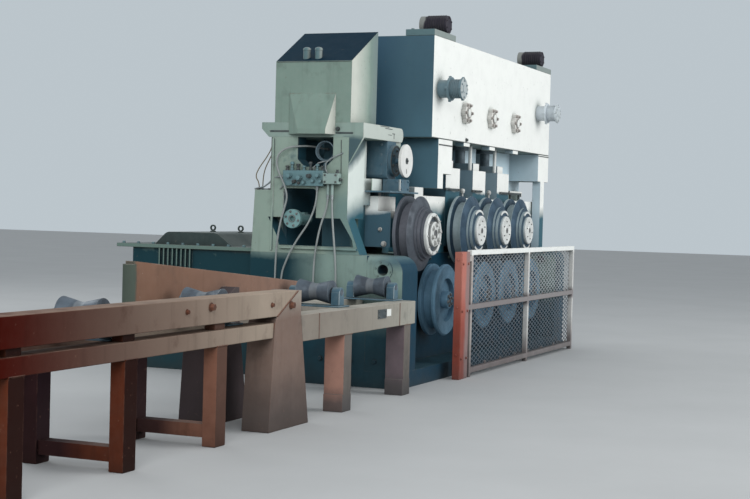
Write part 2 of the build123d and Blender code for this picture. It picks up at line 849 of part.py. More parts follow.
# Drive motors flanged to the face of the beam
face_motor_x = (beam_start + face_motor_inset[0], bed_length - face_motor_inset[1])
with BuildPart() as face_motors:
    for x in face_motor_x:
        for back, length, radius in ((0, face_motor_length, face_motor_radius),
                                     (face_collar_place, face_collar_width, face_collar_radius),
                                     (face_motor_length, face_collar_width, face_end_radius)):
            with BuildSketch(front_plane(leg_front - back, x, housing_top + face_motor_height)):
                Circle(radius)
            extrude(amount=length)
write(face_motors.part, "face_motors")

# Mounting plates and motors on the roof of the beam
roof_top = beam_top + roof_plate_thickness
with BuildPart() as roof_plates:
    with BuildSketch(Plane.XY.offset(beam_top)):
        for x in (beam_start, bed_length - roof_plate_length):
            with Locations((x, leg_front)):
                Rectangle(roof_plate_length, roof_plate_depth, align=(Align.MIN, Align.MIN))
    extrude(amount=roof_plate_thickness)
write(roof_plates.part, "roof_plates")

roof_motor_front = leg_front + roof_motor_setback
with BuildPart() as roof_motors:
    for x in (beam_start + roof_motor_inset[0], bed_length - roof_motor_inset[1]):
        with BuildSketch(front_plane(roof_motor_front, x, roof_top + roof_motor_radius)):
            Circle(roof_motor_radius)
        extrude(amount=-roof_motor_length)
        with BuildSketch(Plane.XY.offset(roof_top)):
            with Locations((x, roof_motor_front + roof_motor_length / 2)):
                Rectangle(roof_foot_width, roof_foot_length)
        extrude(amount=roof_foot_height)
write(roof_motors.part, "roof_motors")

# Ledge between the entry stand and the main housing, with its block over the first roll
ledge_bottom = bed_height + ledge_lift
with BuildPart() as ledge:
    for base, length, height in ((ledge_bottom, housing_start - stand_length, ledge_thickness),
                                 (ledge_bottom + ledge_thickness, ledge_block_length, ledge_block_height)):
        with BuildSketch(Plane.XY.offset(base)):
            with Locations((stand_length, chock_front)):
                Rectangle(length, ledge_depth, align=(Align.MIN, Align.MIN))
        extrude(amount=height)
write(ledge.part, "ledge")

# Gear reducer beside the bed: ribbed body, split flange and domed cover
with BuildPart() as reducer_body:
    with BuildSketch(Plane.XY):
        with Locations((reducer_start, bed_back)):
            Rectangle(reducer_length, reducer_depth, align=(Align.MIN, Align.MIN))
    extrude(amount=reducer_split)
    with BuildSketch(Plane.XY.offset(reducer_split)):
        with Locations((reducer_start - split_lip, bed_back)):
            Rectangle(
                reducer_length + 2 * split_lip, reducer_depth + split_overhang, align=(Align.MIN, Align.MIN),
            )
    extrude(amount=split_flange)
    with BuildSketch(Plane.XY.offset(reducer_split)):
        for i in range(reducer_rib_count):
            with Locations((reducer_start, bed_back + reducer_rib_first + i * reducer_rib_pitch)):
                Rectangle(reducer_rib_depth, reducer_rib, align=(Align.MAX, Align.CENTER))
    extrude(amount=-reducer_rib_height)
write(reducer_body.part, "reducer_body")

with BuildPart() as reducer_cover:
    with BuildSketch(side_plane(reducer_start + dome_inset, reducer_split + split_flange)):
        with BuildLine():
            FilletPolyline(
                (bed_back + dome_near, 0), (bed_back + dome_near + dome_slope[0], dome_height),
                (bed_back + dome_far - dome_slope[1], dome_height), (bed_back + dome_far, 0),
                radius=dome_round,
            )
            Line((bed_back + dome_far, 0), (bed_back + dome_near, 0))
        make_face()
    extrude(amount=reducer_length - 2 * dome_inset)
write(reducer_cover.part, "reducer_cover")

# Entry table: the mitred top beam, lower beams, spacers, legs, ties and the broad end posts
with BuildPart() as table_beams:
    with BuildSketch(front_plane(-table_half_width)):
        with BuildLine():
            Polyline(
                (table_start, table_beam_bottom), (mitre_bottom_x, table_beam_bottom),
                (mitre_top_x, table_top), (table_start, table_top), close=True,
            )
        make_face()
    extrude(amount=-table_beam_width)
write(table_beams.part, "table_beams")

lower_beam_face = table_half_width - lower_beam_inset
with BuildPart() as table_lower_beams:
    with BuildSketch(front_plane(-lower_beam_face)):
        with BuildLine():
            Polyline(
                (table_start, lower_beam_bottom), (post_edge(lower_beam_bottom), lower_beam_bottom),
                (post_edge(lower_beam_top), lower_beam_top), (table_start, lower_beam_top), close=True,
            )
        make_face()
    extrude(amount=-(table_beam_width - 2 * lower_beam_inset))
    mirror(about=Plane.XZ)
write(table_lower_beams.part, "table_lower_beams")

with BuildPart() as table_spacers:
    with BuildSketch(Plane.XY.offset(lower_beam_top)):
        for x in leg_x:
            with Locations((x, -table_half_width + spacer_inset)):
                Rectangle(leg_length, spacer_depth, align=(Align.CENTER, Align.MIN))
    extrude(amount=spacer_height)
write(table_spacers.part, "table_spacers")

with BuildPart() as table_legs:
    with BuildSketch(Plane.XY):
        for x in leg_x:
            with Locations((x, -lower_beam_face)):
                Rectangle(leg_length, leg_depth, align=(Align.CENTER, Align.MIN))
    extrude(amount=lower_beam_bottom)
    mirror(about=Plane.XZ)
write(table_legs.part, "table_legs")

with BuildPart() as table_ties:
    with BuildSketch(Plane.XY.offset(tie_lift)):
        for x in leg_x:
            with Locations((x, 0)):
                Rectangle(tie_width, 2 * (lower_beam_face - leg_depth))
    extrude(amount=tie_height)
write(table_ties.part, "table_ties")

with BuildPart() as table_posts:
    with BuildSketch(front_plane(-table_half_width)):
        with BuildLine():
            Polyline(
                (post_foot[0], 0), (post_foot[1], 0), (post_neck_x, short_top), (post_neck_x, table_top),
                (mitre_top_x, table_top), (mitre_bottom_x, table_beam_bottom),
                (post_shoulder_x, lower_beam_top), close=True,
            )
        make_face()
    extrude(amount=-post_depth)
    mirror(about=Plane.XZ)
write(table_posts.part, "table_posts")

# Guide board on the far beams and post, with a sloping top and a round nose at its entry end
with BuildPart() as guide_board:
    with BuildSketch(front_plane(board_near)):
        with BuildLine():
            Polyline(
                (board_start, lower_beam_top), (post_shoulder_x, lower_beam_top),
                (mitre_bottom_x, table_beam_bottom), (mitre_top_x, table_top), (post_neck_x, table_top),
                (post_neck_x, short_top), (board_end, short_top), (board_end, table_top),
                (board_start, board_high), close=True,
            )
        make_face()
    extrude(amount=-board_thickness)
    with BuildSketch(Plane.XY.offset(lower_beam_top)):
        with Locations((board_start, board_near + board_thickness / 2)):
            Circle(board_nose_radius)
    extrude(amount=board_high - board_nose_drop - lower_beam_top)
write(guide_board.part, "guide_board")

# Short table: beams and legs with their wider feet
with BuildPart() as short_frame:
    for face, end in ((-table_half_width, short_end), (table_inner, 0)):
        with BuildSketch(front_plane(face)):
            with BuildLine():
                Polyline(
                    (post_exit_edge(short_bottom), short_bottom), (end, short_bottom), (end, short_top),
                    (post_exit_edge(short_top), short_top), close=True,
                )
            make_face()
        extrude(amount=-table_beam_width)
write(short_frame.part, "short_frame")

with BuildPart() as short_legs:
    for height, margin in ((short_bottom, 0), (short_foot_height, short_foot_margin)):
        with BuildSketch(Plane.XY):
            for x in short_leg_x:
                with Locations((x, -table_half_width + short_leg_inset)):
                    Rectangle(
                        short_leg_length + 2 * margin, table_beam_width - 2 * short_leg_inset,
                        align=(Align.CENTER, Align.MIN),
                    )
        extrude(amount=height)
    mirror(about=Plane.XZ)
write(short_legs.part, "short_legs")

# V-rollers and the plates and bearings that carry them
for number, x in enumerate(v_roller_x, start=1):
    on_table = x in table_roller_x
    inner = table_bearing_inner if on_table else short_bearing_inner
    shaft_end = inner + (table_bearing_width if on_table else short_bearing_width)
    with BuildPart() as v_roller:
        with BuildSketch(side_plane(x, v_axis)):
            with BuildLine():
                Polyline(
                    (-shaft_end, 0), (-shaft_end, v_shaft_radius),
                    (-v_half_width, v_shaft_radius), (-v_half_width, v_rim_radius),
                    (-v_half_floor, v_core_radius), (v_half_floor, v_core_radius),
                    (v_half_width, v_rim_radius), (v_half_width, v_shaft_radius),
                    (shaft_end, v_shaft_radius), (shaft_end, 0), close=True,
                )
            make_face()
        revolve(axis=Axis((x, 0, v_axis), (0, 1, 0)))
    write(v_roller.part, f"v_roller_{number}")

with BuildPart() as roller_plates:
    for x in v_roller_x:
        seat = lower_beam_top if x in table_roller_x else short_top
        with BuildSketch(Plane.XY.offset(seat)):
            with Locations((x, 0)):
                Rectangle(cross_plate_length, 2 * cross_plate_half)
        extrude(amount=cross_plate_thickness)
write(roller_plates.part, "roller_plates")

with BuildPart() as roller_bearings:
    for x in v_roller_x:
        on_table = x in table_roller_x
        base = (lower_beam_top if on_table else short_top) + cross_plate_thickness
        inner = table_bearing_inner if on_table else short_bearing_inner
        width = table_bearing_width if on_table else short_bearing_width
        for face in (-inner, inner + width):
            with BuildSketch(front_plane(face, x)):
                with Locations((0, base)):
                    Rectangle(bearing_length, v_axis - base, align=(Align.CENTER, Align.MIN))
                with Locations((0, v_axis)):
                    Circle(bearing_cap_radius)
                    Circle(v_shaft_radius + running_gap, mode=Mode.SUBTRACT)
            extrude(amount=width)
write(roller_bearings.part, "roller_bearings")

# Guard: broad post, angle frame and mesh
with BuildPart() as guard_post:
    with BuildSketch(Plane.XY):
        with Locations((guard_start, -table_half_width)):
            Rectangle(guard_post_length, guard_post_depth, align=(Align.MIN, Align.MIN))
    extrude(amount=guard_height - guard_post_drop)
write(guard_post.part, "guard_post")

guard_stile_x = (guard_frame_start - guard_bar, guard_mullion_x - guard_bar / 2, guard_frame_end - guard_bar)
with BuildPart() as guard_rails:
    with BuildSketch(front_plane(-table_half_width)):
        for z in (guard_bottom, guard_mid_height - guard_bar / 2, guard_height - guard_bar):
            for x0, x1 in zip(guard_stile_x, guard_stile_x[1:]):
                with Locations((x0 + guard_bar, z)):
                    Rectangle(x1 - x0 - guard_bar, guard_bar, align=(Align.MIN, Align.MIN))
    extrude(amount=-guard_bar)
    with BuildSketch(Plane.XY.offset(guard_bottom)):
        for x in (guard_stile_x[0] + 2 * guard_bar, guard_stile_x[1] + 2 * guard_bar, guard_stile_x[2] - guard_bar):
            with Locations((x, -table_half_width)):
                Rectangle(guard_bar, table_half_width + end_block_front, align=(Align.CENTER, Align.MIN))
    extrude(amount=guard_bar)
write(guard_rails.part, "guard_rails")

with BuildPart() as guard_stiles:
    with BuildSketch(front_plane(-table_half_width)):
        for x in guard_stile_x:
            with Locations((x, 0)):
                Rectangle(guard_bar, guard_height, align=(Align.MIN, Align.MIN))
        for z in (guard_mid_height - guard_bar / 2, guard_height - guard_bar - guard_clip_drop):
            with Locations((guard_start + guard_post_length, z)):
                Rectangle(guard_gap, guard_bar, align=(Align.MIN, Align.MIN))
    extrude(amount=-guard_bar)
write(guard_stiles.part, "guard_stiles")

with BuildPart() as guard_mesh:
    with BuildSketch(front_plane(-table_half_width + guard_bar)):
        with Locations((guard_frame_start - mesh_overlap, guard_bottom + guard_bar)):
            Rectangle(
                guard_frame_end - guard_frame_start - mesh_overlap,
                guard_height - guard_bottom - mesh_overlap - guard_bar, align=(Align.MIN, Align.MIN),
            )
    extrude(amount=-mesh_thickness)
write(guard_mesh.part, "guard_mesh")

# Manifold and valve block on the front of the stand, with the rail below that the hoses end on
manifold_bottom = bed_height + manifold_lift[0]
valve_bottom = bed_height + valve_lift[0]
rail_top = bed_height - rail_drop
with BuildPart() as manifold:
    for span, base, top, depth in (
        (manifold_span, manifold_bottom, bed_height + manifold_lift[1], manifold_depth),
        (valve_span, valve_bottom, bed_height + valve_lift[1], valve_depth),
        (rail_span, rail_top - rail_height, rail_top, rail_depth),
    ):
        with BuildSketch(side_plane(0, base)):
            with Locations((span[0], 0)):
                Rectangle(span[1] - span[0], top - base, align=(Align.MIN, Align.MIN))
        extrude(amount=-depth)
    with BuildSketch(Plane.XY.offset(valve_bottom)):
        with Locations([(hose_plane, y) for y in nipple_y]):
            Circle(nipple_radius)
    extrude(amount=-nipple_length)
write(manifold.part, "manifold")

# Round cover on a stub shaft in the lower opening, held by a lug on the far cheek
with BuildPart() as shaft_cover:
    with BuildSketch(side_plane(0, cover_z)):
        with Locations((cover_y, 0)):
            Circle(cover_outer_radius)
    extrude(amount=cover_disc)
    with BuildSketch(side_plane(0, cover_z)):
        with Locations((cover_y, 0)):
            Circle(cover_shaft_radius)
    extrude(amount=cover_shaft_length)
    with BuildSketch(side_plane(cover_shaft_length - cover_lug_length, cover_z)):
        with Locations((cover_y, 0)):
            Rectangle(
                stand_far - cheek_thickness - cover_y, cover_lug_height, align=(Align.MIN, Align.CENTER),
            )
    extrude(amount=cover_lug_length)
    with BuildSketch(side_plane(0, cover_z)):
        with Locations((cover_y, 0)):
            Circle(cover_hole_radius)
    extrude(amount=cover_hole_depth, mode=Mode.SUBTRACT)
write(shaft_cover.part, "shaft_cover")

# Hoses from the manifold and out of the upper opening down to the rail, and two thin ones to the shoulder
nipple_end = valve_bottom - nipple_length
hose("hose_near", [
    (hose_plane, nipple_y[0], nipple_end), (hose_plane, nipple_y[0], 1640), (-60, 482, 1440),
    (-64, 458, 1240), (hose_plane, 446, 1050), (hose_plane, 446, rail_top),
], hose_diameter)
hose("hose_middle", [
    (hose_plane, nipple_y[1], nipple_end), (hose_plane, nipple_y[1], 1640), (-62, 604, 1480),
    (-66, 648, 1260), (hose_plane, 672, 1060), (hose_plane, 672, rail_top),
], hose_diameter)
hose("hose_cross", [
    (-manifold_depth / 2, 664, manifold_bottom), (-manifold_depth / 2, 664, 1720), (-45, 684, 1600),
    (-60, 735, 1470), (-64, 830, 1340), (-66, 905, 1215), (-60, 960, 1100), (hose_plane, 1000, 1000),
    (hose_plane, 1000, rail_top),
], hose_diameter)
hose("hose_long", [
    (cheek_length, 745, 2180), (240, 745, 2180), (100, 790, 2195), (-20, 860, 2190), (-62, 960, 2176),
    (-66, 1050, 2120), (-70, 1072, 2030), (-80, 1030, 1930), (-85, 975, 1835), (-80, 940, 1720),
    (-70, 975, 1610), (-66, 1015, 1480), (-70, 1042, 1310), (-60, 1056, 1130), (hose_plane, 1063, 1000),
    (hose_plane, 1063, rail_top),
], hose_diameter)
hose("hose_shoulder_1", [
    (60, 1174, cross_bottom), (60, 1174, 2190), (60, 1235, 2085), (60, 1310, 1990), (60, 1352, 1905),
    (60, 1305, 1845), (60, 1305, shoulder_top),
], thin_hose_diameter)
hose("hose_shoulder_2", [
    (100, 1174, cross_bottom), (100, 1174, 2180), (100, 1215, 2085), (100, 1270, 1985), (100, 1290, 1880),
    (100, 1290, shoulder_top),
], thin_hose_diameter)
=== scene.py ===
"""Looks of the tube straightening machine: finishes, hoses, fastenings, guard mesh, light and camera.

Everything is in metres in the row frame. The origin is on the floor under the pass line at the entry end of
the bed, +X runs along the pass line to the exit, +Y to the drive side and +Z up. The operator stands on -Y.
"""
import logging
import math
from collections.abc import Iterable, Sequence
from dataclasses import dataclass, field
from enum import Enum

import bmesh
import bpy
from mathutils import Matrix, Vector


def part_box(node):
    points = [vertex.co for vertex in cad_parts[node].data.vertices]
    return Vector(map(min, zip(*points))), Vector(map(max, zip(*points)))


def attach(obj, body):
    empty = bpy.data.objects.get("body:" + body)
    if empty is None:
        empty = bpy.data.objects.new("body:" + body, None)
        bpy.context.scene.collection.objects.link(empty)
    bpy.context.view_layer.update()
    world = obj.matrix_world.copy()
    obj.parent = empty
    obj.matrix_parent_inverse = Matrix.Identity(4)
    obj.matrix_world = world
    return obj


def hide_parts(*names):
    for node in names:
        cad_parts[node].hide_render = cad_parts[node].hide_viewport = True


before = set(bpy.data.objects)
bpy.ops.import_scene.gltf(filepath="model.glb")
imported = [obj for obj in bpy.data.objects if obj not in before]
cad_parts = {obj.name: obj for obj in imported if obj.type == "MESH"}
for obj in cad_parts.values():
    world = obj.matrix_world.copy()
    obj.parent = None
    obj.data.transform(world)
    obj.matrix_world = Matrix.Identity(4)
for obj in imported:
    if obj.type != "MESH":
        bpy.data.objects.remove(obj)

Point = tuple[float, float, float]
Outline = Sequence[tuple[float, float]]
Colour = tuple[float, float, float]
LOG = logging.getLogger("straightener")
FIXED = "machine"
HEXAGON_RATIO = 0.577
FIN_THICKNESS = 0.006


class Axis(Enum):
    """The three directions of the row frame, with the index of each in a point."""

    X = 0
    Y = 1
    Z = 2

    def place(self, along: float, first: float, second: float) -> Vector:
        """Return the point at a coordinate along this axis and at the two others.

        Args:
            along: Coordinate along this axis.
            first: The first of the two others, in their X, Y, Z order.
            second: The second of them.

        Returns:
            The point.
        """
        values = [first, second]
        values.insert(self.value, along)
        return Vector(values)


X, Y, Z = Axis


class Face(Enum):
    """Sides that fastenings stand out from, each as an axis and a direction along it."""

    FRONT = (Y, -1)
    BACK = (Y, 1)
    ENTRY = (X, -1)
    EXIT = (X, 1)
    TOP = (Z, 1)


class Slot(Enum):
    """Names of the record's material slots."""

    GREEN = "machine_green"
    DARK = "dark_green"
    RED = "motor_red"
    TABLE = "table_brown"
    ORANGE = "guard_orange"
    PALE = "guard_pale"
    STEEL = "roll_steel"
    BRIGHT = "bright_steel"
    WHITE = "wheel_white"
    HOSE = "hose_rubber"


@dataclass(frozen=True)
class Extent:
    """Lowest and highest corner of a node of the frame."""

    low: Vector
    high: Vector

    @classmethod
    def of(cls, node: str) -> "Extent":
        """Measure a node at rest.

        Args:
            node: Name of the node.

        Returns:
            Its box.
        """
        low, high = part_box(node)
        return cls(Vector(low), Vector(high))

    @property
    def centre(self) -> Vector:
        """Middle of the box."""
        return (self.low + self.high) / 2

    @property
    def size(self) -> Vector:
        """Lengths of the box's sides."""
        return self.high - self.low


def add_object(name: str, data: bpy.types.ID) -> bpy.types.Object:
    """Add an object to the scene.

    Args:
        name: Name of the object.
        data: Its mesh, curve, lamp or camera.

    Returns:
        The object.
    """
    made = bpy.data.objects.new(name, data)
    bpy.context.scene.collection.objects.link(made)
    return made


def shade(colour: Colour, factor: float) -> Colour:
    """Return a colour made darker or lighter by a factor, held under white."""
    return tuple(min(1.0, part * factor) for part in colour)


class Shader:
    """Node tree of one material, with short calls for the nodes that the finishes share."""

    def __init__(self, name: str) -> None:
        """Make an empty material with a principled surface.

        Args:
            name: Name of the material.
        """
        self.material = bpy.data.materials.new(name)
        self.material.use_nodes = True
        self.tree = self.material.node_tree
        self.tree.nodes.clear()
        self.surface = self.tree.nodes.new("ShaderNodeBsdfPrincipled")
        output = self.tree.nodes.new("ShaderNodeOutputMaterial")
        self.tree.links.new(self.surface.outputs[0], output.inputs[0])
        self.space = self.tree.nodes.new("ShaderNodeTexCoord")

    def put(self, socket: bpy.types.NodeSocket, value: object) -> None:
        """Link a socket to another one, or set its own value.

        Args:
            socket: Input that is set.
            value: An output socket, a number or a colour.
        """
        if isinstance(value, bpy.types.NodeSocket):
            self.tree.links.new(value, socket)
        elif isinstance(value, tuple) and len(value) == 3 and len(socket.default_value) == 4:
            socket.default_value = (*value, 1.0)
        else:
            socket.default_value = value

    def maths(self, kind: str, first: object, second: object = 0.0) -> bpy.types.NodeSocket:
        """Return the result of one operation on two numbers.

        Args:
            kind: Blender's name of the operation.
            first: First number or socket.
            second: Second number or socket.

        Returns:
            The result's socket.
        """
        node = self.tree.nodes.new("ShaderNodeMath")
        node.operation = kind
        self.put(node.inputs[0], first)
        self.put(node.inputs[1], second)
        return node.outputs[0]

    def product(self, first: object, *others: object) -> bpy.types.NodeSocket:
        """Multiply numbers.

        Args:
            first: A number or a socket.
            others: The other factors, likewise.

        Returns:
            The product's socket.
        """
        for other in others:
            first = self.maths("MULTIPLY", first, other)
        return first

    def noise(
        self, scale: float, detail: float = 3.0, stretch: Point = (1.0, 1.0, 1.0),
    ) -> bpy.types.NodeSocket:
        """Return a noise that sticks to the piece.

        Args:
            scale: Number of features in a metre.
            detail: Octaves of finer noise.
            stretch: Further scale along each axis.

        Returns:
            The noise's value, near 0.5 on average.
        """
        mapping = self.tree.nodes.new("ShaderNodeMapping")
        self.put(mapping.inputs["Vector"], self.space.outputs["Object"])
        mapping.inputs["Scale"].default_value = stretch
        node = self.tree.nodes.new("ShaderNodeTexNoise")
        self.put(node.inputs["Vector"], mapping.outputs[0])
        node.inputs["Scale"].default_value = scale
        node.inputs["Detail"].default_value = detail
        node.inputs["Roughness"].default_value = 0.6
        return node.outputs[0]

    def between(self, value: object, low: float, high: float) -> bpy.types.NodeSocket:
        """Map a range of a value evenly to 0 to 1, and hold the ends beyond it.

        Args:
            value: The value's socket.
            low: Value that becomes 0.
            high: Value that becomes 1, which may be the smaller one.

        Returns:
            The mapped value's socket.
        """
        node = self.tree.nodes.new("ShaderNodeMapRange")
        self.put(node.inputs["Value"], value)
        node.inputs["From Min"].default_value = low
        node.inputs["From Max"].default_value = high
        return node.outputs[0]

    def blend(self, factor: object, first: object, second: object) -> bpy.types.NodeSocket:
        """Return a colour between two colours.

        Args:
            factor: 0 for the first colour, 1 for the second.
            first: First colour.
            second: Second colour.

        Returns:
            The mixed colour's socket.
        """
        node = self.tree.nodes.new("ShaderNodeMix")
        node.data_type = "RGBA"
        self.put(node.inputs[0], factor)
        self.put(node.inputs[6], first)
        self.put(node.inputs[7], second)
        return node.outputs[2]

    def dim(self, factor: object, colour: object, grey: float) -> bpy.types.NodeSocket:
        """Darken a colour.

        Args:
            factor: How far it is darkened, from 0 to 1.
            colour: The colour.
            grey: What is left of it where the factor is 1.

        Returns:
            The darkened colour's socket.
        """
        mixed = self.blend(factor, colour, (grey, grey, grey))
        mixed.node.blend_type = "MULTIPLY"
        return mixed

    def part(self, vector: bpy.types.NodeSocket, axis: Axis) -> bpy.types.NodeSocket:
        """Take one coordinate of a vector.

        Args:
            vector: The vector's socket.
            axis: Axis of the coordinate.

        Returns:
            The coordinate's socket.
        """
        node = self.tree.nodes.new("ShaderNodeSeparateXYZ")
        self.put(node.inputs[0], vector)
        return node.outputs[axis.value]

    def place(self, axis: Axis) -> bpy.types.NodeSocket:
        """Return one coordinate of the point in the row frame at rest."""
        return self.part(self.space.outputs["Object"], axis)

    def cosine(self, direction: object) -> bpy.types.NodeSocket:
        """Return the cosine between the surface's normal and a direction.

        Args:
            direction: A unit vector, or the socket of one.

        Returns:
            The cosine's socket.
        """
        geometry = self.tree.nodes.new("ShaderNodeNewGeometry")
        dot = self.tree.nodes.new("ShaderNodeVectorMath")
        dot.operation = "DOT_PRODUCT"
        self.put(dot.inputs[0], geometry.outputs["Normal"])
        self.put(dot.inputs[1], direction)
        return dot.outputs["Value"]

    def toward(self, direction: Point) -> bpy.types.NodeSocket:
        """Return how far the surface faces a direction, 1 where it looks straight along it."""
        return self.cosine(Vector(direction).normalized())

    def hollow(self, reach: float) -> bpy.types.NodeSocket:
        """Return 1 in corners and gaps and 0 on open faces.

        Args:
            reach: Distance in metres at which other surfaces count.

        Returns:
            The hollow's depth.
        """
        node = self.tree.nodes.new("ShaderNodeAmbientOcclusion")
        node.samples = 6
        node.inputs["Distance"].default_value = reach
        return self.between(node.outputs["AO"], 0.85, 0.3)

    def edge(self, radius: float) -> bpy.types.NodeSocket:
        """Return 1 along corners and 0 on flat faces.

        Args:
            radius: Width of the worn corner in metres.

        Returns:
            The corner's sharpness.
        """
        bevel = self.tree.nodes.new("ShaderNodeBevel")
        bevel.samples = 4
        bevel.inputs["Radius"].default_value = radius
        return self.between(self.cosine(bevel.outputs[0]), 0.985, 0.8)

    def bump(self, height: object, depth: float) -> None:
        """Give the surface relief.

        Args:
            height: Relief from 0 to 1.
            depth: Its depth in metres.
        """
        node = self.tree.nodes.new("ShaderNodeBump")
        node.inputs["Strength"].default_value = 1.0
        node.inputs["Distance"].default_value = depth
        self.put(node.inputs["Height"], height)
        self.put(self.surface.inputs["Normal"], node.outputs[0])


@dataclass(frozen=True)
class Ramp:
    """Growth of a coat along an axis, from nothing at `start` to all of it at `end`.

    `lean` is how much both rise for each metre along X.
    """

    axis: Axis
    start: float
    end: float
    lean: float = 0.0


@dataclass(frozen=True)
class Coat:
    """Colour over the faces that look one way, or over a region: mostly painted glare, shade and shadow, some
    tones of paint and dirt.
    """

    colour: Colour
    direction: Point | None = None
    amount: float = 0.92
    ramps: tuple[Ramp, ...] = ()
    spread: tuple[float, float] = (0.45, 0.85)
    shelter: float = 0.0

    def over(self, s: Shader, colour: object) -> bpy.types.NodeSocket:
        """Lay the coat over a colour.

        Args:
            s: Shader of the finish.
            colour: Colour under the coat.

        Returns:
            The coated colour.
        """
        cover = s.product(s.between(s.noise(2.6, 5.0), 0.05, 0.30), self.amount)
        if self.direction:
            cover = s.product(cover, s.between(s.toward(self.direction), *self.spread))
        for ramp in self.ramps:
            wavy = s.maths("ADD", s.product(s.noise(4.0, 4.0), 0.10), s.place(ramp.axis))
            if ramp.lean:
                wavy = s.maths("SUBTRACT", wavy, s.product(s.place(X), ramp.lean))
            cover = s.product(cover, s.between(wavy, ramp.start + 0.05, ramp.end + 0.05))
        if self.shelter:
            cover = s.product(cover, s.maths("SUBTRACT", 1.0, s.hollow(self.shelter)))
        worn = s.dim(s.between(s.noise(7.0, 6.0), 0.45, 0.75), self.colour, 0.94)
        return s.blend(cover, colour, worn)


# Near-white painted glare on the faces that look to the operator.
PAINTED_GLARE: Colour = (0.850, 0.860, 0.820)
# Dark teal painted shade low on the faces that look to the operator.
PAINTED_LOW_SHADE: Colour = (0.012, 0.090, 0.128)
# Dark teal painted shade on the faces that look to the entry.
PAINTED_ENTRY_SHADE: Colour = (0.044, 0.108, 0.150)
SHADE: Colour = (0.006, 0.052, 0.084)
# Blue of painted shade inside the openings and behind the stand.
PAINTED_INSIDE_SHADE: Colour = (0.090, 0.300, 0.420)
LEFT: Point = (-1.0, 0.0, 0.0)
OPERATOR: Point = (0.0, -1.0, 0.0)


def operator_glare_and_shade(foot: float, head: float, *limits: Ramp, shelter: float = 0.22) -> tuple[Coat, ...]:
    """Return the painted shade below and the painted glare above on the faces that look to the operator.

    Args:
        foot: Height under which there is no painted glare.
        head: Height from which on all is painted glare.
        limits: Further limits of the painted glare.
        shelter: Reach of the hollows that the painted glare keeps out of.

    Returns:
        The two coats.
    """
    return (
        Coat(PAINTED_LOW_SHADE, OPERATOR, 0.95, (Ramp(Z, head, foot),)),
        Coat(PAINTED_GLARE, OPERATOR, 0.97, (Ramp(Z, foot, head), *limits), shelter=shelter),
    )


@dataclass(frozen=True)
class WornPaint:
    """Old workshop paint: faded patches, dirt runs, dust on top, coats that are mostly painted light and
    shade, painted shade with grime in corners, and worn corners.
    """

    name: str
    colour: Colour
    under: Colour
    grime_and_shade: Colour = (0.030, 0.034, 0.034)
    dust: Colour = (0.36, 0.37, 0.34)
    roughness: float = 0.5
    runs: float = 0.35
    chips: float = 0.35
    rubbed: float = 0.6
    dusting: float = 0.3
    coats: tuple[Coat, ...] = ()
    far_colour: Colour | None = None
    drift: tuple[float, float] = (0.0, 1.0)
    haze: float = 0.12
    corners: float = 0.45
    specular: float = 0.35
    corner_shade_reach: float = 0.16
    worn_edge: float = 0.012
    relief: float = 0.0012

    def base(self, s: Shader) -> bpy.types.NodeSocket:
        """Mix the paint's colour with its fading, patches, dirt runs and dust.

        Args:
            s: Shader of the material.

        Returns:
            The colour's socket.
        """
        colour = s.dim(s.between(s.noise(1.1, 4.0), 0.36, 0.68), self.colour, 0.80)
        if self.far_colour:
            along = s.maths("POWER", s.between(s.place(X), *self.drift), 1.4)
            far = s.dim(s.between(s.noise(1.7, 4.0), 0.36, 0.68), self.far_colour, 0.85)
            colour = s.blend(along, colour, far)
        mottled = s.product(s.between(s.noise(17.0, 5.0), 0.40, 0.75), self.haze)
        colour = s.blend(mottled, colour, self.dust)
        streaks = s.between(s.noise(1.0, 4.0, (13.0, 13.0, 0.9)), 0.54, 0.8)
        colour = s.dim(s.product(streaks, self.runs), colour, 0.35)
        stains = s.between(s.noise(5.0, 6.0), 0.58, 0.74)
        colour = s.blend(s.product(stains, self.runs), colour, self.grime_and_shade)
        top = s.product(s.between(s.toward((0, 0, 1)), 0.5, 0.95), s.between(s.noise(4.0, 5.0), 0.25, 0.6))
        return s.blend(s.product(top, self.dusting), colour, self.dust)

    def make(self) -> bpy.types.Material:
        """Build the material.

        Returns:
            The finished material.
        """
        s = Shader(self.name)
        s.surface.inputs["Specular IOR Level"].default_value = self.specular
        colour = self.base(s)
        for coat in self.coats:
            colour = coat.over(s, colour)
        near_floor = s.between(s.maths("ADD", s.place(Z), s.noise(6.0)), 1.05, 0.45)
        colour = s.blend(s.product(near_floor, 0.4), colour, self.grime_and_shade)
        # Corners and gaps darkened by ambient occlusion: painted shade with grime.
        colour = s.blend(s.product(s.hollow(self.corner_shade_reach), self.corners), colour, self.grime_and_shade)
        chipped = s.between(s.noise(26.0, 6.0), 0.66, 0.70)
        rubbed = s.product(s.edge(self.worn_edge), s.between(s.noise(11.0, 5.0), 0.42, 0.62))
        worn = s.maths("MAXIMUM", s.product(chipped, self.chips), s.product(rubbed, self.rubbed))
        colour = s.blend(worn, colour, self.under)
        s.put(s.surface.inputs["Base Color"], colour)
        rough = s.between(s.maths("ADD", s.noise(8.0, 4.0), worn), -0.4, 1.6)
        s.put(s.surface.inputs["Roughness"], s.maths("ADD", s.product(rough, 0.4), self.roughness - 0.15))
        s.bump(s.maths("SUBTRACT", s.product(s.noise(160.0, 2.0), 0.35), worn), self.relief)
        return s.material


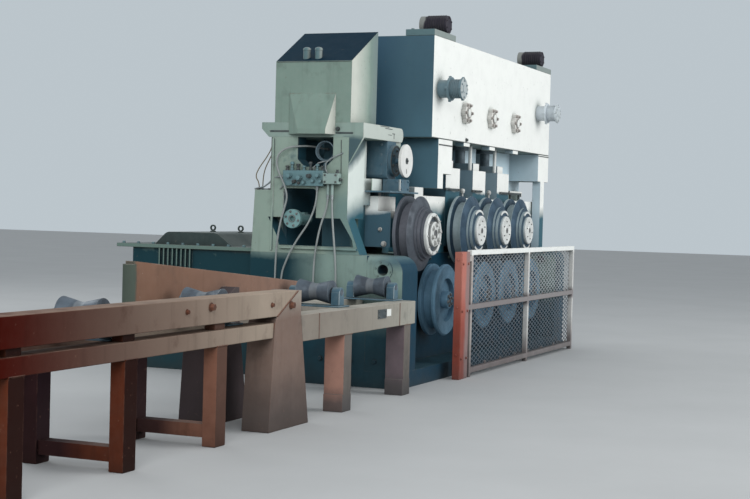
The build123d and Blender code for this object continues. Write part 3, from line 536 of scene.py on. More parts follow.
@dataclass(frozen=True)
class TurnedSteel:
    """Steel turned on a lathe, dull with oxide, with fine rings round the axis, a bright end face, painted
    shade in its hollows and, where set, on its flank to the operator.
    """

    name: str
    colour: Colour
    oxide: Colour
    polish: Colour = (0.50, 0.50, 0.48)
    roughness: float = 0.45
    metallic: float = 0.3
    oxidised: float = 0.8
    band: float = 0.0
    face: tuple[float, float] | None = None
    face_colour: Colour = (0.74, 0.76, 0.73)
    shaded_flank: Colour | None = None
    specular: float = 0.35
    corners: float = 0.6
    grime_and_shade: Colour = (0.022, 0.030, 0.036)
    corner_shade_reach: float = 0.12
    worn_edge: float = 0.008
    relief: float = 0.0008

    def radius(self, s: Shader) -> bpy.types.NodeSocket:
        """Measure the distance from the turning axis, in the piece's own box.

        Args:
            s: Shader of the material.

        Returns:
            The distance's socket.
        """
        spread = s.tree.nodes.new("ShaderNodeVectorMath")
        spread.operation = "SUBTRACT"
        s.put(spread.inputs[0], s.space.outputs["Generated"])
        spread.inputs[1].default_value = (0.5, 0.0, 0.5)
        across = s.part(spread.outputs[0], X)
        upward = s.part(spread.outputs[0], Z)
        return s.maths("SQRT", s.maths("ADD", s.product(across, across), s.product(upward, upward)))

    def make(self) -> bpy.types.Material:
        """Build the material.

        Returns:
            The finished material.
        """
        s = Shader(self.name)
        s.surface.inputs["Metallic"].default_value = self.metallic
        s.surface.inputs["Specular IOR Level"].default_value = self.specular
        rings = s.tree.nodes.new("ShaderNodeTexNoise")
        rings.noise_dimensions = "1D"
        s.put(rings.inputs["W"], s.maths("ADD", self.radius(s), s.place(Y)))
        rings.inputs["Scale"].default_value = 170.0
        rings.inputs["Detail"].default_value = 4.0
        turned = s.between(rings.outputs[0], 0.3, 0.7)
        colour = s.blend(s.product(turned, 0.35), self.colour, shade(self.colour, 1.35))
        rusted = s.between(s.noise(9.0, 6.0), 0.42, 0.66)
        colour = s.blend(s.product(rusted, self.oxidised), colour, self.oxide)
        if self.band:
            off_centre = s.maths("ABSOLUTE", s.place(Y))
            run_in = s.product(s.between(off_centre, self.band * 1.3, self.band), 0.4)
            colour = s.blend(run_in, colour, self.polish)
        rubbed = s.product(s.edge(self.worn_edge), s.between(s.noise(14.0, 4.0), 0.35, 0.6))
        colour = s.blend(s.product(rubbed, 0.8), colour, self.polish)
        # Faces that look to the operator take the flank colour: painted shade.
        if self.shaded_flank:
            flank_shade = s.product(s.between(s.toward(OPERATOR), 0.35, 0.75), 0.92)
            colour = s.blend(flank_shade, colour, s.dim(rusted, self.shaded_flank, 0.75))
        if self.face:
            bright = s.between(s.place(Y), *self.face)
            colour = s.blend(s.product(bright, 0.95), colour, s.dim(rusted, self.face_colour, 0.82))
        # Corners and gaps darkened by ambient occlusion: painted shade with grime.
        colour = s.blend(s.product(s.hollow(self.corner_shade_reach), self.corners), colour, self.grime_and_shade)
        s.put(s.surface.inputs["Base Color"], colour)
        rough = s.maths("ADD", s.product(rusted, 0.28), self.roughness)
        s.put(s.surface.inputs["Roughness"], rough)
        s.bump(s.maths("ADD", s.product(turned, 0.5), s.noise(70.0, 3.0)), self.relief)
        return s.material


class Finish(Enum):
    """Every finish of the machine."""

    FRAME = WornPaint(
        "housing_paint", (0.150, 0.205, 0.185), (0.13, 0.12, 0.10), coats=(
            # Painted shade on faces to the entry; darker blue and lighter teal painted shade on the beam's
            # end; blue painted shade inside; painted light on the far faces to the entry.
            Coat(PAINTED_ENTRY_SHADE, LEFT, 0.96),
            Coat((0.026, 0.078, 0.126), LEFT, 0.9, (Ramp(Y, 0.32, 0.62), Ramp(Z, 2.30, 2.40))),
            Coat((0.066, 0.150, 0.198), LEFT, 0.9, (Ramp(Z, 2.78, 2.40), Ramp(Y, 0.55, 0.20))),
            Coat(PAINTED_INSIDE_SHADE, LEFT, 0.9, (Ramp(Y, 0.40, 0.50), Ramp(Z, 2.34, 2.28))),
            Coat((0.52, 0.64, 0.70), LEFT, 0.9, (Ramp(X, 1.7, 4.3),)),
            # Painted shade low and painted glare high on faces to the operator; painted light on the window's
            # back wall.
            *operator_glare_and_shade(1.58, 1.72, Ramp(Y, 0.34, 0.26)),
            Coat((0.66, 0.82, 0.90), OPERATOR, 0.9, (Ramp(Y, 0.30, 0.36), Ramp(Z, 1.85, 1.92))),
        ), corners=0.25,
    )
    ROOF = WornPaint(
        "roof_paint", (0.180, 0.230, 0.225), (0.13, 0.12, 0.10), haze=0.05, coats=(
            # Faces to the entry painted darker and faces to the operator lighter: painted shade and painted
            # light.
            Coat((0.095, 0.170, 0.185), LEFT, 0.95), Coat((0.225, 0.265, 0.250), OPERATOR, 0.95),
        ),
    )
    CHOCK = WornPaint(
        "chock_paint", (0.115, 0.160, 0.155), (0.12, 0.11, 0.10), coats=(
            # Painted shade on faces to the entry, painted light on the far chocks' entry faces, and painted
            # glare over painted shade on faces to the operator.
            Coat(PAINTED_ENTRY_SHADE, LEFT, 0.96), Coat((0.32, 0.40, 0.44), LEFT, 0.85, (Ramp(X, 1.9, 4.7),)),
            *operator_glare_and_shade(1.83, 1.87, shelter=0.0),
        ), corners=0.2,
    )
    FIRST_CHOCK = WornPaint(
        "first_chock_paint", (0.115, 0.160, 0.155), (0.12, 0.11, 0.10), coats=(
            # Painted shade on faces to the entry, painted glare over painted shade on faces to the operator,
            # and painted light on the entry faces of its head.
            Coat(PAINTED_ENTRY_SHADE, LEFT, 0.96), *operator_glare_and_shade(1.54, 1.60, shelter=0.0),
            Coat((0.92, 0.95, 0.92), LEFT, 0.95, (Ramp(Z, 1.58, 1.64),)),
        ), corners=0.0,
    )
    BED = WornPaint(
        "bed_paint", (0.235, 0.330, 0.295), (0.10, 0.10, 0.09), roughness=0.45, specular=0.12, haze=0.05,
        coats=(
            # Painted shadow of the first roll on the end block's top; painted shade low down, by the reducer
            # and on faces to the operator.
            Coat((0.050, 0.108, 0.140), None, 0.8, (Ramp(Y, 0.20, -0.10), Ramp(Z, 1.06, 1.15))),
            Coat(SHADE, None, 0.9, (Ramp(Z, 0.86, 0.45),)),
            Coat((0.002, 0.034, 0.050), None, 0.96, (Ramp(Y, 0.55, 0.95), Ramp(Z, 1.24, 1.14))),
            Coat((0.001, 0.034, 0.064), OPERATOR, 0.98),
        ),
    )
    STAND = WornPaint(
        "stand_paint", (0.285, 0.378, 0.318), (0.16, 0.14, 0.11), runs=0.28, dusting=0.45, corners=0.35,
        coats=(
            Coat((0.150, 0.245, 0.230), LEFT, 0.85, (Ramp(Z, 1.86, 1.66), Ramp(Y, 0.60, 0.48))),
            # Painted shade low and painted glare high on the faces to the operator, the cross-head's painted
            # shadow above the slant, and painted shade inside the openings.
            Coat(PAINTED_LOW_SHADE, OPERATOR, 0.95, (Ramp(Z, 1.72, 1.54, 0.30),)),
            Coat((0.680, 0.740, 0.700), OPERATOR, 0.97, (Ramp(Z, 1.48, 1.70, 0.30), Ramp(X, 1.00, 0.80))),
            Coat((0.045, 0.092, 0.108), OPERATOR, 0.92, (Ramp(Z, 1.93, 2.02, 0.51),)),
            Coat(
                (0.018, 0.075, 0.105), None, 0.95,
                (Ramp(X, 0.01, 0.03), Ramp(Y, 0.45, 0.50), Ramp(Y, 1.13, 1.10)),
            ),
        ),
    )
    CROSS_HEAD = WornPaint(
        "cross_head_paint", (0.262, 0.355, 0.312), (0.16, 0.14, 0.11), runs=0.28, dusting=0.45, coats=(
            # Painted glare on the end face to the operator and painted shade on the gusset's face to the
            # entry.
            Coat((0.490, 0.535, 0.490), OPERATOR, 0.95, (Ramp(Z, 2.22, 2.27),)),
            Coat((0.045, 0.092, 0.108), LEFT, 0.95, (Ramp(Z, 2.30, 2.25), Ramp(Y, 0.44, 0.40))),
        ),
    )
    HEAD = WornPaint(
        "head_paint", (0.228, 0.318, 0.272), (0.16, 0.14, 0.11), runs=0.3, specular=0.08, coats=(
            # Painted glare on the side to the operator fading into painted shade towards the exit, and
            # painted shade on the sloping roof.
            Coat((0.560, 0.580, 0.520), OPERATOR, 0.96, (Ramp(X, 0.46, 0.10),)),
            Coat((0.175, 0.225, 0.220), OPERATOR, 0.9, (Ramp(X, 0.40, 0.56),)),
            Coat((0.000, 0.018, 0.036), (-0.48, 0.0, 0.87), 1.0, spread=(0.90, 0.97)),
        ),
    )
    SHAFT_COVER = WornPaint("shaft_cover_paint", (0.200, 0.370, 0.370), (0.10, 0.12, 0.11), corners=0.2)
    OILY_PAINT = WornPaint(
        "oily_paint", (0.058, 0.132, 0.182), (0.20, 0.26, 0.28), corners=0.2, roughness=0.4, runs=0.4,
        # The coat is a painted highlight along the rounded corner between the faces to the entry and to the
        # operator.
        chips=0.15, coats=(Coat((0.62, 0.64, 0.61), (-1.0, -1.0, 0.0), 0.95, spread=(0.93, 0.99)),),
    )
    REDUCER = WornPaint(
        "reducer_paint", (0.045, 0.068, 0.066), (0.16, 0.15, 0.12), haze=0.05,
        specular=0.2, coats=(
            Coat((0.004, 0.040, 0.054), LEFT, 0.93, (Ramp(Z, 1.20, 1.17),)),
            Coat((0.004, 0.034, 0.046), OPERATOR, 0.93, (Ramp(Z, 1.20, 1.17),)),
            Coat((0.150, 0.225, 0.195), LEFT, 0.9, (Ramp(X, 0.287, 0.272), Ramp(Z, 1.00, 1.03))),
        ),
    )
    # Near-white paint that also stands for painted glare, with painted shade on faces to the entry.
    PALE_AND_GLARE_PAINT = WornPaint(
        "pale_and_glare_paint", (0.78, 0.795, 0.755), (0.20, 0.17, 0.14), runs=0.3, chips=0.4, dusting=0.1,
        coats=(Coat((0.16, 0.22, 0.24), LEFT, 0.85),),
    )
    COVER = WornPaint(
        "lobed_cover_paint", (0.800, 0.790, 0.740), (0.22, 0.19, 0.17), runs=0.6, corners=0.1, chips=0.9,
        # Faces to the entry darker: painted shade.
        grime_and_shade=(0.20, 0.18, 0.16), coats=(Coat((0.46, 0.46, 0.44), LEFT, 0.8),),
    )
    COVER_BOLT = WornPaint("cover_bolt_paint", (0.400, 0.370, 0.340), (0.16, 0.13, 0.12), chips=0.9)
    FACE_MOTOR = WornPaint(
        "face_motor_paint", (0.135, 0.215, 0.250), (0.30, 0.32, 0.32), runs=0.2, haze=0.04,
        far_colour=(0.62, 0.68, 0.72), drift=(1.8, 4.9), coats=(
            Coat((0.42, 0.46, 0.46), OPERATOR, 0.9, (Ramp(Y, -0.185, -0.195),)),
        ), corners=0.15,
    )
    DARK_PAINT = WornPaint("dark_fitting_paint", (0.040, 0.055, 0.060), (0.20, 0.19, 0.17), chips=0.5)
    MOTOR_RED = WornPaint(
        "dark_red_paint", (0.034, 0.030, 0.042), (0.16, 0.14, 0.13), dusting=0.1, haze=0.03, specular=0.12,
        rubbed=0.3, coats=(Coat((0.24, 0.25, 0.235), None, 0.95, (Ramp(Y, 0.285, 0.300),)),),
    )
    PRIMER = WornPaint(
        "red_brown_primer", (0.042, 0.002, 0.000), (0.20, 0.11, 0.08), runs=0.4, chips=0.2, dusting=0.45,
        dust=(0.36, 0.27, 0.21), roughness=0.7, far_colour=(0.315, 0.258, 0.205), drift=(-6.1, -3.15),
        grime_and_shade=(0.030, 0.008, 0.004), haze=0.01, specular=0.04, rubbed=0.35,
    )
    PRIMER_LEG = WornPaint(
        "leg_primer", (0.100, 0.024, 0.010), (0.20, 0.11, 0.08), runs=0.5, chips=0.3, roughness=0.7,
        far_colour=(0.220, 0.100, 0.066), drift=(-4.7, -3.75), haze=0.02, specular=0.08, rubbed=0.4,
        # Faces to the operator darker: painted shade, darkest on the legs beyond X -4.4; the legs on the far
        # side are darker too.
        coats=(Coat((0.012, 0.002, 0.001), OPERATOR, 0.96, (Ramp(X, -4.0, -4.4),)),
               Coat((0.075, 0.042, 0.032), OPERATOR, 0.88, (Ramp(X, -4.4, -4.0),)),
               Coat((0.022, 0.010, 0.014), None, 0.85, (Ramp(Y, -0.10, 0.10),))),
        grime_and_shade=(0.016, 0.008, 0.006),
    )
    PRIMER_POST = WornPaint(
        "post_primer", (0.185, 0.128, 0.104), (0.16, 0.10, 0.08), chips=0.3, dusting=0.4, roughness=0.7,
        haze=0.04, specular=0.12, coats=(
            Coat((0.078, 0.066, 0.062), None, 0.8, (Ramp(Z, 0.50, 0.10),)),
            Coat((0.31, 0.28, 0.24), OPERATOR, 0.8, (Ramp(Z, 0.80, 0.98),)),
            Coat((0.040, 0.030, 0.036), None, 0.85, (Ramp(Y, -0.10, 0.10),)),
        ), grime_and_shade=(0.040, 0.030, 0.026),
    )
    BOARD = WornPaint(
        "board_primer", (0.215, 0.118, 0.078), (0.42, 0.36, 0.31), runs=0.25, chips=0.9, dusting=0.5,
        roughness=0.7,
        dust=(0.40, 0.30, 0.25), far_colour=(0.235, 0.145, 0.110), drift=(-3.7, -1.3), haze=0.05,
        specular=0.15, coats=(Coat((0.060, 0.085, 0.070), None, 0.95, (Ramp(X, -3.755, -3.795),)),),
    )
    PRIMER_PALE = WornPaint(
        "dusty_primer", (0.235, 0.205, 0.172), (0.20, 0.13, 0.10), dusting=0.6, haze=0.06,
        dust=(0.40, 0.38, 0.33), roughness=0.7, far_colour=(0.300, 0.292, 0.252), drift=(-2.2, -0.3),
        specular=0.2,
    )
    PRIMER_FOOT = WornPaint(
        "short_leg_primer", (0.145, 0.128, 0.114), (0.16, 0.10, 0.08), runs=0.3, chips=0.3, dusting=0.4,
        roughness=0.7, haze=0.05, specular=0.12, coats=(
            Coat((0.450, 0.240, 0.182), LEFT, 0.9, (Ramp(X, -0.9, -1.2),)),
            Coat((0.150, 0.112, 0.128), LEFT, 0.85, (Ramp(X, -1.2, -0.9),)),
            Coat((0.090, 0.080, 0.080), None, 0.8, (Ramp(Z, 0.20, 0.08),)),
            Coat((0.045, 0.036, 0.040), None, 0.8, (Ramp(Y, -0.10, 0.10),)),
        ),
    )
    ORANGE = WornPaint(
        "orange_red_paint", (0.310, 0.070, 0.046), (0.16, 0.09, 0.07), runs=0.3, chips=0.3, haze=0.03,
        specular=0.15, coats=(
            Coat((0.460, 0.170, 0.130), None, 0.85, (Ramp(Z, 0.55, 0.90),)),
            # Faces to the operator darker: painted shade.
            Coat((0.240, 0.170, 0.165), OPERATOR, 0.9, (Ramp(X, 1.21, 1.26),)),
        ),
    )
    GUARD = WornPaint(
        "washed_guard_paint", (0.400, 0.360, 0.335), (0.26, 0.19, 0.16), runs=0.3, chips=0.4, coats=(
            Coat((0.58, 0.59, 0.57), None, 0.8, (Ramp(X, 2.7, 3.3),)),
            Coat((0.80, 0.82, 0.79), None, 0.92, (Ramp(Z, 1.18, 1.205),)),
            Coat((0.150, 0.115, 0.115), None, 0.8, (Ramp(Z, 0.34, 0.12),)),
            Coat((0.170, 0.150, 0.152), None, 0.85, (Ramp(Z, 0.60, 0.64), Ramp(Z, 0.76, 0.72))),
        ),
    )
    STRAND = WornPaint(
        "mesh_paint", (0.235, 0.265, 0.290), (0.16, 0.12, 0.10), runs=0.2, chips=0.3, dusting=0.2,
        specular=0.2, far_colour=(0.46, 0.50, 0.51), drift=(2.4, 5.2), coats=(
            Coat((0.050, 0.088, 0.122), None, 0.8, (Ramp(Z, 0.78, 0.60),)),
        ),
    )
    WHEEL = WornPaint(
        "white_paint", (0.790, 0.795, 0.765), (0.32, 0.26, 0.22), runs=0.2, chips=0.3, dusting=0.1,
    )
    FITTING = WornPaint(
        "fitting_paint", (0.280, 0.385, 0.355), (0.08, 0.10, 0.11), runs=0.6, chips=0.9, rubbed=0.9,
        roughness=0.4, coats=(Coat((0.125, 0.240, 0.265), None, 0.9, (Ramp(Y, 0.57, 0.60),)),),
    )
    PIPE = TurnedSteel("dull_pipe", (0.270, 0.300, 0.305), (0.130, 0.170, 0.185), metallic=0.35, oxidised=0.6)
    COIL = TurnedSteel(
        "coil_pipe", (0.130, 0.190, 0.225), (0.090, 0.140, 0.165), oxidised=0.7, polish=(0.2, 0.25, 0.28),
    )
    FIRST_ROLL = TurnedSteel(
        "first_roll_steel", (0.130, 0.138, 0.160), (0.110, 0.112, 0.132), polish=(0.16, 0.18, 0.22),
        # The flank colour is painted shade on the roll's face to the operator.
        face=(-0.158, -0.166), face_colour=(0.08, 0.10, 0.12), shaded_flank=(0.058, 0.070, 0.086), corners=0.1,
    )
    ROLL = TurnedSteel(
        "upper_roll_steel", (0.330, 0.410, 0.430), (0.270, 0.335, 0.350), polish=(0.24, 0.31, 0.34),
        # The flank colour is painted shade on the roll's face to the operator.
        face=(-0.150, -0.160), shaded_flank=(0.004, 0.036, 0.076), corners=0.1,
    )
    LOWER_ROLL = TurnedSteel(
        "lower_roll_steel", (0.130, 0.250, 0.350), (0.100, 0.200, 0.280), polish=(0.16, 0.26, 0.33),
        corners=0.3,
    )
    TABLE_ROLL = TurnedSteel(
        "table_roll_steel", (0.088, 0.112, 0.138), (0.052, 0.062, 0.076), band=0.03,
        polish=(0.26, 0.28, 0.29),
    )
    BRIGHT = TurnedSteel(
        "machined_steel", (0.660, 0.675, 0.650), (0.42, 0.43, 0.42), polish=(0.80, 0.80, 0.78),
        roughness=0.38, metallic=0.2, oxidised=0.5,
    )
    SCREW = TurnedSteel(
        "screw_steel", (0.130, 0.170, 0.195), (0.080, 0.115, 0.135), polish=(0.24, 0.28, 0.30),
    )
    BOLT = TurnedSteel("bolt_steel", (0.110, 0.115, 0.118), (0.065, 0.060, 0.058))
    PALE_BOLT = TurnedSteel("pale_bolt_steel", (0.560, 0.570, 0.550), (0.30, 0.29, 0.27), metallic=0.2)
    RUBBER = WornPaint(
        "dusty_rubber", (0.300, 0.330, 0.325), (0.16, 0.19, 0.20), runs=0.3, chips=0.3, dusting=0.5,
        roughness=0.6,
    )
    BROWN_RUBBER = WornPaint(
        "brown_rubber", (0.190, 0.150, 0.085), (0.10, 0.08, 0.05), runs=0.3, roughness=0.6,
    )

    @property
    def material(self) -> bpy.types.Material:
        """The finish's material, made once."""
        return bpy.data.materials.get(self.value.name) or self.value.make()


class Mesher:
    """Gathers the closed solids of one piece."""

    def __init__(self) -> None:
        """Start with no solids."""
        self.mesh = bmesh.new()

    def skin(self, rings: Sequence[Sequence[Vector]], closed: bool = False) -> None:
        """Join rings of points into one solid.

        Args:
            rings: Rings with as many points each, in order along the solid.
            closed: True where the last ring joins the first one, so that the ends need no faces.
        """
        made = [[self.mesh.verts.new(point) for point in ring] for ring in rings]
        pairs = list(zip(made, made[1:] + made[:1])) if closed else list(zip(made, made[1:]))
        for one, other in pairs:
            for i in range(len(one)):
                j = (i + 1) % len(one)
                self.mesh.faces.new((one[i], one[j], other[j], other[i]))
        if not closed:
            self.mesh.faces.new(made[0])
            self.mesh.faces.new(made[-1])

    def prism(self, axis: Axis, start: float, end: float, outline: Outline) -> None:
        """Add an outline drawn out along an axis.

        Args:
            axis: Direction of the draw.
            start: Where it starts.
            end: Where it ends.
            outline: Points in the other two coordinates, in their X, Y, Z order.
        """
        self.skin([[axis.place(at, *point) for point in outline] for at in (start, end)])

    def block(self, low: Point, high: Point) -> None:
        """Add a block between two corners."""
        corners = ((low[0], low[1]), (high[0], low[1]), (high[0], high[1]), (low[0], high[1]))
        self.prism(Z, low[2], high[2], corners)

    def lathe(self, centre: Point, profile: Outline, sides: int = 32, axis: Axis = Y) -> None:
        """Add a turned solid.

        Args:
            centre: Point on its axis from which the profile is measured.
            profile: Pairs of a distance along the axis and a radius.
            sides: Number of its sides.
            axis: Its axis.
        """
        middle = Vector(centre)
        self.skin([
            [middle + axis.place(along, *point) for point in circle((0.0, 0.0), radius, sides)]
            for along, radius in profile
        ])

    def ring(self, centre: Point, profile: Outline, sides: int = 32, axis: Axis = Y) -> None:
        """Add a turned solid with a hole, from a closed profile of pairs along the axis and of radius."""
        self.arc(centre, profile, 0.0, 2 * math.pi, sides, axis)

    def fin(self, centre: Point, inner: float, outer: float) -> None:
        """Add a cooling fin of a motor that lies along Y, between two radii."""
        half = FIN_THICKNESS / 2
        self.ring(centre, ((-half, inner), (-half, outer), (half, outer), (half, inner)), 40)

    def arc(
        self, centre: Point, profile: Outline, start: float, sweep: float, sides: int = 24, axis: Axis = Y,
    ) -> None:
        """Add a closed profile turned part of the way round an axis.

        Args:
            centre: Point on the axis from which the profile is measured.
            profile: Pairs of a distance along the axis and a radius.
            start: Angle at which it starts, in radians.
            sweep: Angle through which it turns, a full turn for a closed ring.
            sides: Number of its steps.
            axis: The axis.
        """
        middle = Vector(centre)
        whole = sweep > 2 * math.pi - 0.001
        rings = []
        for i in range(sides if whole else sides + 1):
            turn = start + sweep * i / sides
            rings.append([
                middle + axis.place(along, radius * math.cos(turn), radius * math.sin(turn))
                for along, radius in profile
            ])
        self.skin(rings, closed=whole)

    def bolt(self, seat: Point, across: float, face: Face = Face.FRONT) -> None:
        """Add a hexagon bolt head on its washer.

        Args:
            seat: Point of the surface that it is screwed to.
            across: Width of the head over its flats.
            face: Side that it stands out from.
        """
        axis, side = face.value
        radius = across * HEXAGON_RATIO
        washer = 0.12 * across * side
        self.lathe(seat, ((-0.001 * side, radius * 1.25), (washer, radius * 1.25)), 16, axis)
        self.lathe(seat, (
            (washer, radius), (0.68 * across * side, radius), (0.76 * across * side, radius * 0.82),
        ), 6, axis)

    def bolts(self, seats: Iterable[Point], across: float, face: Face = Face.FRONT) -> None:
        """Add a bolt head at each seat."""
        for seat in seats:
            self.bolt(seat, across, face)

    def bolt_circle(
        self, centre: Point, radius: float, count: int, start: float, across: float, face: Face = Face.FRONT,
    ) -> None:
        """Add evenly spaced bolt heads round a point.

        Args:
            centre: Middle of the circle, on the surface.
            radius: Radius of the circle.
            count: Number of bolts.
            start: Angle of the first one, in radians.
            across: Width of the heads over their flats.
            face: Side that they stand out from.
        """
        axis = face.value[0]
        flat = [value for i, value in enumerate(centre) if i != axis.value]
        seats = [axis.place(centre[axis.value], *point) for point in circle(flat, radius, count, start)]
        self.bolts(seats, across, face)

    def tube(self, points: Sequence[Point], radius: float, sides: int = 8) -> None:
        """Add a round bar along a line of points.

        Args:
            points: The line's points.
            radius: The bar's radius.
            sides: Number of its sides.
        """
        line = [Vector(point) for point in points]
        rings = []
        across = None
        for i, point in enumerate(line):
            before, after = line[max(i - 1, 0)], line[min(i + 1, len(line) - 1)]
            heading = (after - before).normalized()
            guess = across or (Vector((0, 0, 1)) if abs(heading.z) < 0.9 else Vector((0, 1, 0)))
            across = (guess - heading * guess.dot(heading)).normalized()
            beside = heading.cross(across)
            spokes = circle((0.0, 0.0), 1.0, sides)
            rings.append([point + (across * along + beside * aside) * radius for along, aside in spokes])
        self.skin(rings)

    def piece(
        self, name: str, finish: Finish, slot: Slot, body: str = FIXED, bevel: float = 0.0,
        replaces: str = "",
    ) -> bpy.types.Object:
        """Turn the gathered solids into a piece that rides on a body.

        Args:
            name: Name of the piece.
            finish: Its finish.
            slot: Material slot of the record; not used.
            body: Body that it moves with.
            bevel: Width of its eased edges, or 0.
            replaces: Node that it stands for, if any.

        Returns:
            The piece's object.
        """
        bmesh.ops.recalc_face_normals(self.mesh, faces=self.mesh.faces)
        for edge in self.mesh.edges:
            edge.smooth = len(edge.link_faces) == 2 and edge.calc_face_angle() < math.radians(35)
        for face in self.mesh.faces:
            face.smooth = True
        data = bpy.data.meshes.new(name)
        self.mesh.to_mesh(data)
        self.mesh.free()
        made = add_object(name, data)
        data.materials.append(finish.material)
        if bevel:
            ease_edges(made, bevel)
        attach(made, body)
        if replaces:
            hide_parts(replaces)
        LOG.info("%s rides on %s", name, body)
        return made


def ease_edges(piece: bpy.types.Object, width: float) -> None:
    """Round a piece's sharp edges and even out its shading.

    Args:
        piece: Object that gets the modifiers.
        width: Width of the rounding in metres.
    """
    weld = piece.modifiers.new("weld", "WELD")
    weld.merge_threshold = 0.00002
    bevel = piece.modifiers.new("bevel", "BEVEL")
    bevel.width = width
    bevel.segments = 2
    bevel.limit_method = "ANGLE"
    bevel.angle_limit = math.radians(32)
    smooth = piece.modifiers.new("shading", "WEIGHTED_NORMAL")
    smooth.weight = 60


def circle(
    centre: tuple[float, float], radius: float, count: int, start: float = 0.0,
) -> list[tuple[float, float]]:
    """Return evenly spaced points on a circle.

    Args:
        centre: Middle of the circle.
        radius: Its radius.
        count: Number of points.
        start: Angle of the first one, in radians.

    Returns:
        The points.
    """
    return [
        (
            centre[0] + radius * math.cos(start + 2 * math.pi * i / count),
            centre[1] + radius * math.sin(start + 2 * math.pi * i / count),
        )
        for i in range(count)
    ]


def spaced(start: float, end: float, count: int) -> list[float]:
    """Return evenly spaced values from a start to an end."""
    return [start + (end - start) * i / (count - 1) for i in range(count)]


@dataclass(frozen=True)
class PhotoCamera:
    """The camera of the photograph."""

    place: Point = (-12.5, -5.12, 1.6)
    yaw: float = 22.606
    pitch: float = 1.440
    roll: float = 1.540
    focal_pixels: float = 1493.62
    width_pixels: float = 750.0

    def make(self) -> None:
        """Set up the scene's camera."""
        data = bpy.data.cameras.new("photo_camera")
        data.lens = self.focal_pixels / self.width_pixels * data.sensor_width
        data.clip_end = 200.0
        yaw, pitch, roll = (math.radians(angle) for angle in (self.yaw, self.pitch, self.roll))
        ahead = Vector((math.cos(yaw) * math.cos(pitch), math.sin(yaw) * math.cos(pitch), -math.sin(pitch)))
        level = Vector((math.sin(yaw), -math.cos(yaw), 0.0))
        rise = level.cross(ahead)
        right = level * math.cos(roll) + rise * math.sin(roll)
        up = rise * math.cos(roll) - level * math.sin(roll)
        turn = Matrix((right, up, -ahead)).transposed().to_4x4()
        camera = add_object("photo_camera", data)
        camera.matrix_world = Matrix.Translation(self.place) @ turn
        bpy.context.scene.camera = camera
        LOG.info("camera at %s with a %.1f mm lens", self.place, data.lens)


@dataclass(frozen=True)
class Hose:
    """One oil hose with its crimped ends: its node, route, real length and thickness."""

    node: str
    route: tuple[Point, ...]
    length: float
    diameter: float = 0.018
    finish: Finish = Finish.RUBBER
    crimp: float = 0.042

    def end(self, name: str, seat: Point, toward: Point) -> bpy.types.Object:
        """Make the crimped sleeve and nut at one end.

        Args:
            name: Name of the piece.
            seat: End of the hose.
            toward: Next point of its route, straight along an axis.

        Returns:
            The sleeve.
        """
        run = Vector(toward) - Vector(seat)
        axis = max(Axis, key=lambda one: abs(run[one.value]))
        side = 1 if run[axis.value] > 0 else -1
        radius = self.diameter / 2
        sleeve = Mesher()
        for sides, profile in (
            (16, (
                (0.012, 1.32), (0.016, 1.42), (self.crimp * 0.5, 1.36), (self.crimp * 0.54, 1.44),
                (self.crimp, 1.38), (self.crimp * 1.04, 1.12),
            )),
            (6, ((0.0005, 1.75), (0.013, 1.75))),
        ):
            sleeve.lathe(seat, [(along * side, radius * wide) for along, wide in profile], sides, axis)
        return sleeve.piece(name, Finish.PIPE, Slot.STEEL)

    def make(self) -> None:
        data = bpy.data.curves.new(f"{self.node}_line", "CURVE")
        data.dimensions = "3D"
        spline = data.splines.new("NURBS")
        spline.points.add(len(self.route) - 1)
        for point, place in zip(spline.points, self.route):
            point.co = (*place, 1.0)
        spline.order_u = 3
        spline.use_endpoint_u = True
        spline.resolution_u = 10
        data.bevel_depth = self.diameter / 2
        data.bevel_resolution = 3
        data.use_fill_caps = True
        data.materials.append(self.finish.material)
        hose = add_object(f"{self.node}_line", data)
        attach(hose, FIXED)
        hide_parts(self.node)
        ends = [
            self.end(f"{self.node}_upper_end", self.route[0], self.route[1]),
            self.end(f"{self.node}_lower_end", self.route[-1], self.route[-2]),
        ]
        LOG.info("%s is %.2f m long", self.node, self.length)


